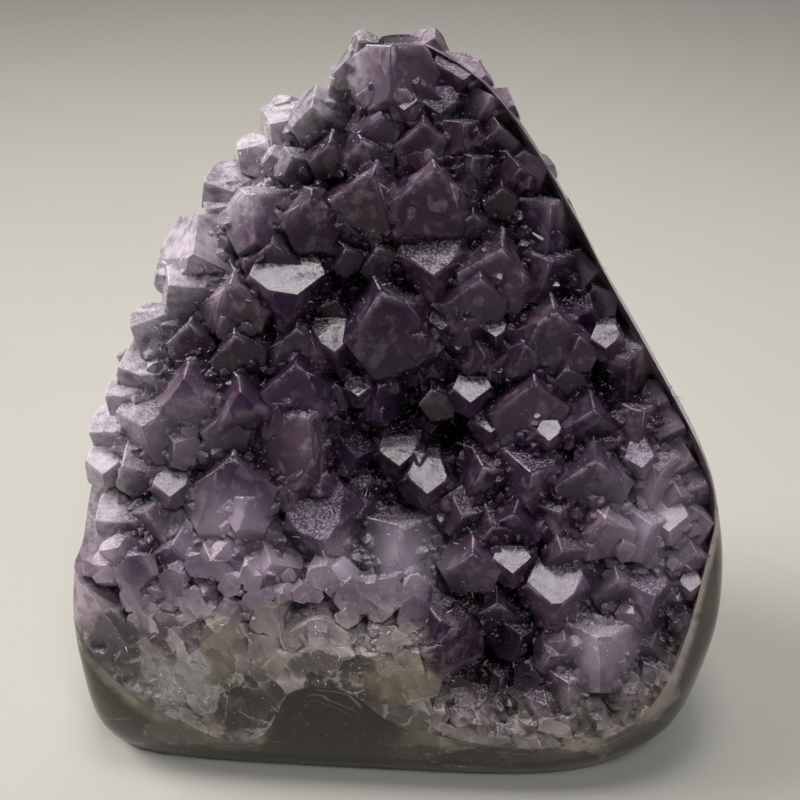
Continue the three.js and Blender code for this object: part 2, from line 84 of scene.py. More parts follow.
def chance(row: int, step: int, low: float, high: float) -> float:
    """A value within a range that depends only on two whole numbers.

    Args:
        row: The number of the thing that is varied.
        step: Which of its properties is varied.
        low: The range's lower end.
        high: The range's upper end.

    Returns:
        The value.
    """
    wave = math.sin(row * 12.9898 + step * 78.233) * 43758.5453
    return low + (high - low) * (wave - math.floor(wave))


def bell(x: Array, t: Array, middle_x: float, middle_t: float, width: float, height: float) -> Array:
    """A smooth bell over x and t: 1 at its middle and little beyond its ellipse.

    Args:
        x: Where it is wanted, to the right.
        t: Where it is wanted, up the plane.
        middle_x: Its middle, to the right.
        middle_t: Its middle, up the plane.
        width: Its half width.
        height: Its half height.

    Returns:
        Its values.
    """
    return np.exp(-(((x - middle_x) / width) ** 2) - ((t - middle_t) / height) ** 2)


@dataclass(frozen=True)
class Curve:
    """A smooth curve through points, level beyond its ends."""

    xs: tuple[float, ...]
    ys: tuple[float, ...]

    def at(self, x: Array | float) -> Array:
        """The curve's values.

        Args:
            x: Where they are wanted.

        Returns:
            One value for each place.
        """
        xs = np.array(self.xs, float)
        ys = np.array(self.ys, float)
        last = len(xs) - 1
        before = np.maximum(np.arange(last + 1) - 1, 0)
        after = np.minimum(np.arange(last + 1) + 1, last)
        slopes = (ys[after] - ys[before]) / (xs[after] - xs[before])
        place = np.clip(x, xs[0], xs[-1])
        i = np.clip(np.searchsorted(xs, place, side="right") - 1, 0, last - 1)
        width = xs[i + 1] - xs[i]
        s = (place - xs[i]) / width
        h = s * s * (3 - 2 * s)
        bend = slopes[i] * width * s * (1 - s) ** 2 - slopes[i + 1] * width * s * s * (1 - s)
        return ys[i] * (1 - h) + ys[i + 1] * h + bend


@dataclass(frozen=True)
class SeenPlane:
    """The leaning plane on which everything is placed as the eye sees it.

    A place's x and t lie on the plane, and its n is how far it stands in front of it.
    """

    lean: float = math.radians(35.0)
    eye_height: float = 75.0
    eye_distance: float = 246.0
    to_frame: tuple[float, float, float] = (0.5, -38.23179, 0.0)

    @property
    def upward(self) -> Array:
        """The direction up the plane."""
        return np.array([0.0, math.sin(self.lean), math.cos(self.lean)])

    @property
    def toward_eye(self) -> Array:
        """The direction from the plane to the eye."""
        return np.array([0.0, -math.cos(self.lean), math.sin(self.lean)])

    def place(self, x: Array | float, t: Array | float, n: Array | float) -> Array:
        """Places in the stone.

        Args:
            x: Where each is seen to the right.
            t: Where each is seen up the plane.
            n: How far each lies in front of the plane.

        Returns:
            The places, in a last axis of three.
        """
        x, t, n = np.broadcast_arrays(np.asarray(x, float), np.asarray(t, float), np.asarray(n, float))
        shrink = 1 - n / self.eye_distance
        rise = self.eye_height + (t - self.eye_height) * shrink
        across = np.stack([x * shrink, np.zeros_like(shrink), np.zeros_like(shrink)], -1)
        return across + rise[..., None] * self.upward + n[..., None] * self.toward_eye

    def seen(self, places: Array) -> tuple[Array, Array, Array]:
        """How places in the stone are seen.

        Args:
            places: The places, in a last axis of three.

        Returns:
            Their x, t and n.
        """
        n = places @ self.toward_eye
        shrink = 1 - n / self.eye_distance
        t = self.eye_height + (places @ self.upward - self.eye_height) / shrink
        return places[..., 0] / shrink, t, n

    def in_frame(self, places: Array) -> Array:
        """Places in the stone as metres in the frame's axes."""
        return (places + np.array(self.to_frame)) * MM


PLANE = SeenPlane()
ACROSS = np.array([1.0, 0.0, 0.0])


@dataclass(frozen=True)
class StoneForm:
    """The stone's outline and the heights of its druse, its ground and its rind."""

    height: float = 127.0
    base_chamfer: float = 1.4
    back_roundness: float = 2.3
    left_squareness: float = 5.0
    right_squareness: float = 3.3
    front_turn: float = 0.062
    point_clearance: float = 8.0
    clearance_start: float = 48.0
    clearance_full: float = 72.0
    top_start: float = 100.0
    druse_foot: float = 14.0
    druse_rise: float = 0.12
    left_fall: float = 8.0
    right_fall: float = 5.0
    rim_limit: float = 1.05
    foot_seen: float = 8.0
    seen_gain: float = 0.86
    root_depth: float = 9.0
    root_slope: float = 1.4
    crust_thickness: float = 23.0
    rim_thickness: float = 14.0
    lip_height: float = 8.0
    lip_rise: float = 0.35
    lip_top: float = 16.0
    lip_slope: float = 2.4
    level_step: float = 2.6
    ring_points: int = 192
    swells: tuple[tuple[float, ...], ...] = (
        (2, 72, 26, 24, -7),
        (2, 62, 15, 8, -9),
        (16, 20, 9, 9, -13),
        (21, 38, 8, 10, -5),
        (-30, 48, 26, 14, -3.5),
        (42, 30, 12, 14, -2),
    )
    hollow_limit: float = 1.5
    # hollows in the ground front: x, t, half width, half height
    vugs: tuple[tuple[float, ...], ...] = (
        (-51, 30.4, 4.0, 2.3),
        (-60, 25.8, 1.9, 1.9),
        (-3, 26.4, 9, 3),
        (-52, 17, 7, 3.4),
        (-44, 12.5, 6, 3),
        (-36, 30, 5, 2.6),
        (-22, 26, 4, 2),
        (-9, 18.5, 3, 2),
    )
    heights = (0, 5, 10, 20, 30, 40, 50, 60, 70, 80, 90, 100, 110, 117, 122, 127)
    left = Curve(heights, (58, 61, 62.5, 63.5, 64, 63, 61, 56, 49.5, 45, 40.5, 33, 24, 17, 12, 5))
    right = Curve(heights, (50, 55, 58.5, 61.3, 63, 62.8, 61, 58, 52, 45.7, 39, 33, 26.2, 20.5, 15, 5))
    front = Curve(heights, (1, -1, -2, -1, 2, 7, 12, 17, 22, 27, 31, 35, 40, 44, 48, 54))
    widest = Curve(heights, (20, 21, 22, 23, 23.5, 24, 24, 25, 28, 32, 36, 41, 47, 52, 56, 61))
    back = Curve(heights, (62, 65, 68, 72, 75, 77, 78, 79, 79, 79, 79, 78, 77, 75, 73, 68))
    rind_edge = Curve(
        (-66, -60, -50, -42, -34, -27, -22, -10, -3, 6, 16, 26, 36, 46, 53, 58, 62, 66),
        (30, 20, 12, 8, 5, 7, 16, 16, 11, 8, 6, 5, 6, 9, 17, 30, 46, 62),
    )
    polish_edge = Curve(
        (-66, -58, -52, -46, -38, -32, -24, -16, -8, 0, 4, 7, 16, 30, 45, 55, 60, 66),
        (50, 40, 34, 36, 39, 34, 33, 37, 33, 35, 32, 18, 13, 11, 14, 24, 40, 62),
    )

    def clearance(self, z: Array | float) -> Array:
        """How far points may stand out of the stone's left edge at a height."""
        s = np.clip((z - self.clearance_start) / (self.clearance_full - self.clearance_start), 0, 1)
        return self.point_clearance * s * s * (3 - 2 * s)

    def half_width(self, x: Array, t: Array) -> Array:
        """The druse's half width at (x, t)."""
        z = self.foot_seen + self.seen_gain * t
        return np.where(x < 0, self.left.at(z) + self.clearance(z), self.right.at(z))

    def side_fall(self, x: Array, t: Array, limit: float) -> tuple[Array, Array]:
        """How near the rim places are, and how far the druse falls back there.

        Args:
            x: The places, to the right.
            t: The places, up the plane.
            limit: The most that is given.

        Returns:
            How near the rim they are, with 1 on it, and how far the druse falls back.
        """
        rim = np.minimum(np.abs(x) / self.half_width(x, t), limit)
        return rim, np.where(x < 0, self.left_fall, self.right_fall) * rim**5

    def druse_height(self, x: Array | float, t: Array | float) -> Array:
        """The points' mean height in front of the seen plane.

        Args:
            x: Where it is wanted, to the right.
            t: Where it is wanted, up the plane.

        Returns:
            The heights.
        """
        x, t = np.broadcast_arrays(np.asarray(x, float), np.asarray(t, float))
        swell = sum(d * bell(x, t, sx, st, w, h) for sx, st, w, h, d in self.swells)
        _, fall = self.side_fall(x, t, self.rim_limit)
        return self.druse_foot + self.druse_rise * t + swell - fall

    def root_height(self, x: Array, t: Array) -> Array:
        """The ground between the points, which rises out of the stone below the polish's upper edge.

        Args:
            x: Where it is wanted, to the right.
            t: Where it is wanted, up the plane.

        Returns:
            Its heights in front of the seen plane.
        """
        below = np.maximum(self.polish_edge.at(x) - t, 0)
        return self.druse_height(x, t) - self.root_depth + self.root_slope * below

    def hollow_depth(self, x: Array, t: Array) -> Array:
        """How deep the hollows in the ground front are, and below nought how far off they are.

        Args:
            x: Where it is wanted, to the right.
            t: Where it is wanted, up the plane.

        Returns:
            The depths.
        """
        wobble = np.sin(1.3 * x + 0.6 * t) * np.sin(0.9 * t - 0.5 * x)
        wobble = wobble + 0.5 * np.sin(2.9 * x) * np.sin(2.3 * t + x)
        edge = self.polish_edge.at(x)
        depth = np.minimum(t - edge + 4.0, edge + 4.0 - t) + 2.4 * wobble
        for cx, ct, width, height in self.vugs:
            reach = np.sqrt(((x - cx) / width) ** 2 + ((t - ct) / height) ** 2)
            depth = np.maximum(depth, (1 - reach) * min(width, height) + 0.5 * wobble)
        depth = np.minimum(np.minimum(depth, (t - self.rind_edge.at(x) - 1.5) * 0.6), (7 - x) * 0.6)
        return np.minimum(depth, self.hollow_limit)

    def rind_height(self, x: Array, t: Array) -> Array:
        """The face on which the crust sits in the rind.

        Args:
            x: Where it is wanted, to the right.
            t: Where it is wanted, up the plane.

        Returns:
            Its heights in front of the seen plane.
        """
        rim, fall = self.side_fall(x, t, 1.0)
        thickness = self.rim_thickness + (self.crust_thickness - self.rim_thickness) * (1 - rim**3)
        bowl = self.druse_foot + self.druse_rise * t - fall - thickness
        edge = self.rind_edge.at(x)
        lip = self.lip_height + self.lip_rise * np.minimum(edge, self.lip_top) + self.lip_slope * (edge - t)
        return np.maximum(bowl, lip)

    def section(self, z: float, inset: float, room: bool) -> Array:
        """The stone's level section.

        Args:
            z: Its height.
            inset: How far it is drawn in all round.
            room: Whether it leaves room for points on the left.

        Returns:
            A ring of places.
        """
        angle = np.arange(self.ring_points) * (2 * math.pi / self.ring_points)
        c, s = np.cos(angle), np.sin(angle)
        left = self.left.at(z) - inset + (self.clearance(z) if room else 0)
        right = self.right.at(z) - inset
        front = self.front.at(z) + inset
        widest = self.widest.at(z)
        back = self.back.at(z) - inset
        squareness = np.where(c < 0, self.left_squareness, self.right_squareness)
        power = 2 / np.where(s > 0, self.back_roundness, squareness)
        x = np.sign(c) * np.abs(c) ** power * np.where(c > 0, right, left)
        y = widest + np.sign(s) * np.abs(s) ** power * np.where(s > 0, back - widest, widest - front)
        y = y - np.where(s < 0, self.front_turn * x * np.abs(s), 0)
        return np.stack([x, y, np.full_like(x, z)], -1)

    def rings(self, inset: float, room: bool) -> Array:
        """The stone's sections from the base to the top.

        Args:
            inset: How far the whole stone is drawn in.
            room: Whether it leaves room for points outside its left edge and top.

        Returns:
            Rings of places, in axes of ring, place and direction.
        """
        levels = np.linspace(self.base_chamfer, self.height, round(self.height / self.level_step))
        rings = [self.section(0.0, inset + self.base_chamfer, False)]
        for z in levels:
            ring = self.section(z, inset, room)
            if room:
                share = max((z - self.top_start) / (self.height - self.top_start), 0)
                ring[:, 2] += self.point_clearance * share
            rings.append(ring)
        return np.array(rings)


FORM = StoneForm()


def in_scene(name: str, data: bpy.types.ID) -> bpy.types.Object:
    """Makes an object and links it to the scene.

    Args:
        name: Its name.
        data: Its mesh, light or camera.

    Returns:
        The object.
    """
    made = bpy.data.objects.new(name, data)
    bpy.context.scene.collection.objects.link(made)
    return made


def make_mesh(name: str, places: Array, faces: Sequence[Sequence[int]]) -> bpy.types.Mesh:
    """A mesh of places and faces.

    Args:
        name: The mesh's name.
        places: The corners' places.
        faces: The corners of each face.

    Returns:
        The mesh.
    """
    mesh = bpy.data.meshes.new(name)
    mesh.from_pydata(places.tolist(), [], faces)
    mesh.update()
    return mesh


def mark(mesh: bpy.types.Mesh, name: str, values: Array, on_faces: bool = False) -> None:
    """Gives a mesh's vertices or faces a named value each.

    Args:
        mesh: The mesh.
        name: The value's name.
        values: One for each vertex or face.
        on_faces: Whether the faces have them.
    """
    layer = mesh.attributes.new(name, "FLOAT", "FACE" if on_faces else "POINT")
    layer.data.foreach_set("value", np.asarray(values, np.float32))


def read_places(mesh: bpy.types.Mesh) -> Array:
    """The places of a mesh's vertices.

    Args:
        mesh: The mesh.

    Returns:
        The places, in a last axis of three.
    """
    flat = np.zeros(len(mesh.vertices) * 3, np.float32)
    mesh.vertices.foreach_get("co", flat)
    return flat.reshape(-1, 3).astype(float)


def read_faces(mesh: bpy.types.Mesh, name: str) -> Array:
    """A named value of a mesh's faces, nought where there is none.

    Args:
        mesh: The mesh.
        name: The value's name.

    Returns:
        One value for each face.
    """
    values = np.zeros(len(mesh.polygons), np.float32)
    layer = mesh.attributes.get(name)
    if layer:
        layer.data.foreach_get("value", values)
    return values


def stone_mesh(inset: float, room: bool) -> bpy.types.Mesh:
    """The whole ground and polished stone as one closed mesh.

    Args:
        inset: How far it is drawn in.
        room: Whether it leaves room for points outside its left edge and top.

    Returns:
        The mesh, whose faces are marked as polished.
    """
    rings = FORM.rings(inset, room)
    levels, count = rings.shape[:2]
    faces = []
    for r in range(levels - 1):
        for i in range(count):
            j = (i + 1) % count
            faces.append((r * count + i, r * count + j, (r + 1) * count + j, (r + 1) * count + i))
    faces.append(tuple(reversed(range(count))))
    faces.append(tuple(range((levels - 1) * count, levels * count)))
    mesh = make_mesh("stone", rings.reshape(-1, 3), faces)
    mark(mesh, "polish", np.ones(len(faces)), on_faces=True)
    return mesh


@dataclass(frozen=True)
class Field:
    """The box over the seen plane in which surfaces are made, beyond the stone on every side."""

    half_x: float = 96.0
    t_range: tuple[float, float] = (-24.0, 176.0)
    far: float = 110.0
    step: float = 1.6

    def in_front_of(self, height: Callable[[Array, Array], Array]) -> bpy.types.Mesh:
        """Everything in front of a surface over the seen plane.

        Args:
            height: The surface's height in front of the plane at x and t.

        Returns:
            A closed mesh.
        """
        nx = round(2 * self.half_x / self.step)
        nt = round((self.t_range[1] - self.t_range[0]) / self.step)
        across = np.linspace(-self.half_x, self.half_x, nx + 1)
        x, t = np.meshgrid(across, np.linspace(*self.t_range, nt + 1))
        near = PLANE.place(x, t, np.minimum(height(x, t), self.far - 1)).reshape(-1, 3)
        far = PLANE.place(x, t, self.far).reshape(-1, 3)
        row = nx + 1
        top = row * (nt + 1)
        faces = []
        for j in range(nt):
            for i in range(nx):
                a = j * row + i
                faces.append((a, a + row, a + row + 1, a + 1))
                faces.append((top + a, top + a + 1, top + a + row + 1, top + a + row))
        for i in range(nx):
            a, b = i, nt * row + i
            faces.append((a, a + 1, top + a + 1, top + a))
            faces.append((b, top + b, top + b + 1, b + 1))
        for j in range(nt):
            a, b = j * row, j * row + nx
            faces.append((a, top + a, top + a + row, a + row))
            faces.append((b, b + row, top + b + row, top + b))
        return make_mesh("field", np.concatenate([near, far]), faces)


class Sight:
    """Finds how far in front of the seen plane a mesh is first met along lines of sight."""

    def __init__(self, mesh: bpy.types.Mesh) -> None:
        """Starts with a mesh, which it only reads.

        Args:
            mesh: The mesh.
        """
        self.tree = BVHTree.FromPolygons(
            [tuple(v.co) for v in mesh.vertices],
            [tuple(p.vertices) for p in mesh.polygons],
        )

    def heights(self, x: Array, t: Array, missing: float = math.nan) -> Array:
        """The mesh's heights in front of the plane.

        Args:
            x: The lines of sight's places to the right.
            t: Their places up the plane.
            missing: The value where nothing is met.

        Returns:
            The heights.
        """
        start = PLANE.place(x, t, 100.0)
        end = PLANE.place(x, t, 0.0)
        found = np.full(np.shape(start)[:-1], missing)
        for index in np.ndindex(found.shape):
            way = Vector(end[index] - start[index])
            place = self.tree.ray_cast(Vector(start[index]), way)[0]
            if place is not None:
                found[index] = PLANE.seen(np.array(place))[2]
        return found


@dataclass(frozen=True)
class RightEdge:
    """The stone's right edge as it is seen, found by lines of sight."""

    ts: Array
    xs: Array

    @classmethod
    def of(cls, sight: Sight) -> "RightEdge":
        """Finds the edge at every 4 mm up the seen plane, to a quarter of a millimetre.

        Args:
            sight: The whole stone's.

        Returns:
            The edge.
        """
        ts = np.arange(-6.0, 150.0, 4.0)
        x, t = np.meshgrid(np.arange(4.0, 72.0, 0.25), ts)
        met = ~np.isnan(sight.heights(x, t))
        xs = np.where(met, x, 0.0).max(axis=1)
        return cls(ts[xs > 0], xs[xs > 0])

    def inward(self, x: Array, t: Array) -> Array:
        """How far places lie inside the edge."""
        return np.interp(t, self.ts, self.xs) - x


class Solid:
    """A closed mesh that others are joined to and cut from."""

    def __init__(self, mesh: bpy.types.Mesh) -> None:
        """Starts with a closed mesh, which this takes over."""
        self.mesh = mesh

    def combine(self, way: Joining, others: Iterable[bpy.types.Mesh]) -> "Solid":
        """Applies one boolean with all the others at once.

        Args:
            way: How they are combined.
            others: The closed meshes, which are used up.

        Returns:
            This solid.
        """
        operands = bpy.data.collections.new("operands")
        bpy.context.scene.collection.children.link(operands)
        for mesh in others:
            operands.objects.link(bpy.data.objects.new(mesh.name, mesh))
        worked = in_scene("worked", self.mesh)
        boolean = worked.modifiers.new("combine", "BOOLEAN")
        boolean.operation = way.value
        boolean.operand_type = "COLLECTION"
        boolean.collection = operands
        boolean.solver = "MANIFOLD"
        done = worked.evaluated_get(bpy.context.evaluated_depsgraph_get())
        result = bpy.data.meshes.new_from_object(done)
        spent = [o.data for o in operands.objects] + [self.mesh]
        for o in [*operands.objects, worked]:
            bpy.data.objects.remove(o)
        bpy.data.collections.remove(operands)
        for mesh in spent:
            bpy.data.meshes.remove(mesh)
        self.mesh = result
        return self

    def join(self, others: Iterable[bpy.types.Mesh]) -> "Solid":
        """Joins other closed meshes to this one."""
        return self.combine(Joining.ADD, others)

    def cut(self, others: Iterable[bpy.types.Mesh]) -> "Solid":
        """Cuts other closed meshes from this one."""
        return self.combine(Joining.TAKE_AWAY, others)

    def keep_within(self, other: bpy.types.Mesh) -> "Solid":
        """Keeps only what lies within another closed mesh."""
        return self.combine(Joining.KEEP_SHARED, [other])

    def largest(self) -> "Solid":
        """Drops every loose crumb but the largest body.

        Returns:
            This solid.
        """
        bm = bmesh.new()
        bm.from_mesh(self.mesh)
        unseen = set(bm.verts)
        bodies = []
        while unseen:
            stack = [unseen.pop()]
            body = set(stack)
            while stack:
                for edge in stack.pop().link_edges:
                    for vertex in edge.verts:
                        if vertex in unseen:
                            unseen.discard(vertex)
                            body.add(vertex)
                            stack.append(vertex)
            bodies.append(body)
        bodies.sort(key=len)
        for crumb in bodies[:-1]:
            bmesh.ops.delete(bm, geom=list(crumb), context="VERTS")
        bm.to_mesh(self.mesh)
        bm.free()
        return self


def corner_order(face: bmesh.types.BMFace) -> float:
    """A number for a point's face, from its three corners that come first."""
    first, second, third = sorted(vertex.index for vertex in face.verts)[:3]
    return (first * 1000.0 + second) * 1000.0 + third


@dataclass(frozen=True)
class QuartzPoint:
    """One quartz point: a six-sided prism under a six-faced end, of which three faces are the larger."""

    tip: Array
    axis: Array
    size: float
    turn: float
    reaches: tuple[float, ...]
    backs: tuple[float, ...]
    root: float
    tone: float
    chamfer: float
    face_angle: float = math.radians(51.8)
    inner_share: float = 0.6
    # the key light's direction, from which the rims' painted light is marked
    lit_side: tuple[float, float, float] = (-0.45, 0.25, 0.86)

    def sideways(self) -> tuple[Array, Array]:
        """The directions across the axis.

        Returns:
            The one to the side and the one up the seen plane.
        """
        up = PLANE.upward - self.axis * (PLANE.upward @ self.axis)
        up /= np.linalg.norm(up)
        return np.cross(up, self.axis), up

    def planes(self) -> tuple[Array, Array]:
        """The planes that bound the point.

        Returns:
            Their normals, and their distances from the origin.
        """
        side, up = self.sideways()
        normals = [-self.axis]
        offsets = [-self.axis @ (self.tip - self.axis * self.root)]
        for k, (reach, back) in enumerate(zip(self.reaches, self.backs)):
            bearing = math.radians(self.turn + 60 * k)
            outward = side * math.cos(bearing) + up * math.sin(bearing)
            normals.append(outward)
            offsets.append(outward @ self.tip + self.size * reach)
            end = self.axis * math.cos(self.face_angle) + outward * math.sin(self.face_angle)
            normals.append(end)
            offsets.append(end @ self.tip + self.size * back)
        return np.array(normals), np.array(offsets)

    def corners(self) -> Array:
        """The corners where three of the planes meet.

        Returns:
            Their places, in a last axis of three.
        """
        normals, offsets = self.planes()
        triples = np.array(list(combinations(range(len(normals)), 3)))
        matrices = normals[triples]
        meeting = np.abs(np.linalg.det(matrices)) > 1e-4
        found = np.linalg.solve(matrices[meeting], offsets[triples[meeting]][..., None])[..., 0]
        return found[(found @ normals.T <= offsets + 1e-5).all(1)]

    def mesh(self) -> bpy.types.Mesh:
        """The point as a closed mesh with chamfered edges, its faces marked with their tone.

        Returns:
            The mesh.
        """
        bm = bmesh.new()
        for corner in self.corners():
            bm.verts.new(corner)
        bmesh.ops.remove_doubles(bm, verts=bm.verts[:], dist=2e-3)
        hull = bmesh.ops.convex_hull(bm, input=bm.verts[:])
        loose = [v for v in hull["geom_interior"] if isinstance(v, bmesh.types.BMVert)]
        bmesh.ops.delete(bm, geom=loose, context="VERTS")
        bmesh.ops.dissolve_limit(bm, angle_limit=0.02, verts=bm.verts[:], edges=bm.edges[:])
        edge_mark = bm.faces.layers.float.new("edge")
        facet_mark = bm.faces.layers.float.new("facet")
        tone_mark = bm.faces.layers.float.new("tone")
        for number, face in enumerate(bm.faces):
            face[facet_mark] = chance(round(self.tone * 1e4), number, 0.0, 1.0)
        if self.chamfer > 0:
            made = bmesh.ops.bevel(
                bm,
                geom=bm.edges[:],
                offset=self.chamfer,
                segments=1,
                affect="EDGES",
                clamp_overlap=True,
            )
            for face in made["faces"]:
                face[edge_mark] = 1.0
        for face in bm.faces:
            face[tone_mark] = self.tone
        if self.chamfer > 0:
            self.mark_rims(bm, edge_mark)
        # the chamfered faces come in a chance order, so the order is set here to be the same each run
        bm.verts.index_update()
        bm.faces.sort(key=corner_order)
        mesh = bpy.data.meshes.new("point")
        bm.to_mesh(mesh)
        bm.free()
        return mesh

    def mark_rims(self, bm: bmesh.types.BMesh, edge_mark: bmesh.types.BMLayerItem) -> None:
        """Parts each end face in an inner face and a rim, and marks the rim's outer corners.

        Those on the lit side are marked most, as painted light, and each chamfer by how squarely it faces
        the light.

        Args:
            bm: The point.
            edge_mark: The mark of the chamfered edges.
        """
        # the rim value is painted light: rims and chamfers on the lit side are marked to be coloured paler
        rim_light_mark = bm.loops.layers.float.new("rim")
        axis = Vector(self.axis)
        lit = Vector(self.lit_side)
        for face in list(bm.faces):
            if face[edge_mark] > 0.5:
                for corner in face.loops:
                    corner[rim_light_mark] = max(face.normal.dot(lit), 0.0) ** 2
                continue
            if face.normal.dot(axis) < 0.2:
                continue
            middle = face.calc_center_median()
            outer = list(face.verts)
            reach = max((v.co - middle).length for v in outer)
            inner = [bm.verts.new(middle + (v.co - middle) * self.inner_share) for v in outer]
            inner_face = bm.faces.new(inner, face)
            for i, vertex in enumerate(outer):
                j = (i + 1) % len(outer)
                side = bm.faces.new((vertex, outer[j], inner[j], inner[i]), face)
                for corner in side.loops:
                    if corner.vert in (vertex, outer[j]):
                        side_of = (corner.vert.co - middle).dot(lit) / reach
                        corner[rim_light_mark] = min(max(0.1 + 0.95 * side_of, 0.05), 1.0)
            for corner in inner_face.loops:
                corner[rim_light_mark] = 0.0
            bm.faces.remove(face)

    def grown_beside(self, row: int, number: int) -> "QuartzPoint":
        """A smaller point of the same lattice, grown out of this one's flank.

        Args:
            row: This point's own number.
            number: Which of its parallel growths is wanted.

        Returns:
            The parallel point.
        """
        bearing = math.radians(self.turn + 60 * math.floor(chance(row, 31 + number, 0, 6)) + 30)
        bearing += chance(row, 36 + number, -0.3, 0.3)
        side, up = self.sideways()
        away = self.size * chance(row, 41 + number, 0.62, 0.98)
        size = self.size * chance(row, 51 + number, 0.26, 0.5)
        drop = math.tan(self.face_angle) * away * 0.9 - size * chance(row, 61 + number, 0.25, 0.8)
        return QuartzPoint(
            tip=self.tip + (side * math.cos(bearing) + up * math.sin(bearing)) * away - self.axis * drop,
            axis=self.axis,
            size=size,
            turn=self.turn + chance(row, 66 + number, -4, 4),
            reaches=tuple(chance(row, 71 + 7 * number + k, 0.85, 1.2) for k in range(6)),
            backs=tuple(chance(row, 91 + 7 * number + k, 0, 0.4) for k in range(6)),
            root=self.root * 0.8,
            tone=self.tone,
            chamfer=self.chamfer * 0.6,
        )


@dataclass(frozen=True)
class SmallPoints:
    """One kind of small quartz points, placed by chance on a loose grid over the seen plane.

    The reach of a side and the back of an end face are shares of a point's size, and so is root_sizes.
    """

    x_range: tuple[float, float]
    t_range: tuple[float, float]
    step: float
    jitter: float
    size: tuple[float, float]
    reach: tuple[float, float]
    back: float
    root: float
    chamfer: float
    root_sizes: float = 0.0
    turn: float = 60.0

    def grid(self, random: np.random.Generator) -> tuple[Array, Array]:
        """The grid's places, each strayed by chance.

        Args:
            random: The source of chance.

        Returns:
            The places' x and t, in rows of equal t before they stray.
        """
        x, t = np.meshgrid(np.arange(*self.x_range, self.step), np.arange(*self.t_range, self.step))
        x = x + random.uniform(-self.jitter, self.jitter, x.shape) * self.step
        t = t + random.uniform(-self.jitter, self.jitter, t.shape) * self.step
        return x, t

    def point(self, random: np.random.Generator, tip: Array, axis: Array, size: float) -> QuartzPoint:
        """A point with a turn, faces and a tone by chance.

        Args:
            random: The source of chance.
            tip: The place of its tip.
            axis: The direction in which it points.
            size: Its size.

        Returns:
            The point.
        """
        return QuartzPoint(
            tip=tip,
            axis=axis,
            size=size,
            turn=random.uniform(0, self.turn),
            reaches=tuple(random.uniform(*self.reach, 6)),
            backs=tuple(random.uniform(0, self.back, 6)),
            root=self.root + self.root_sizes * size,
            tone=random.uniform(0, 1),
            chamfer=self.chamfer,
        )


def axis_of(lean_x: float, lean_t: float) -> Array:
    """The direction that leans away from the line of sight.

    Args:
        lean_x: How far it leans to the right, in degrees.
        lean_t: How far it leans upward, in degrees.

    Returns:
        The direction, of length one.
    """
    axis = PLANE.toward_eye + ACROSS * math.tan(math.radians(lean_x))
    axis = axis + PLANE.upward * math.tan(math.radians(lean_t))
    return axis / np.linalg.norm(axis)


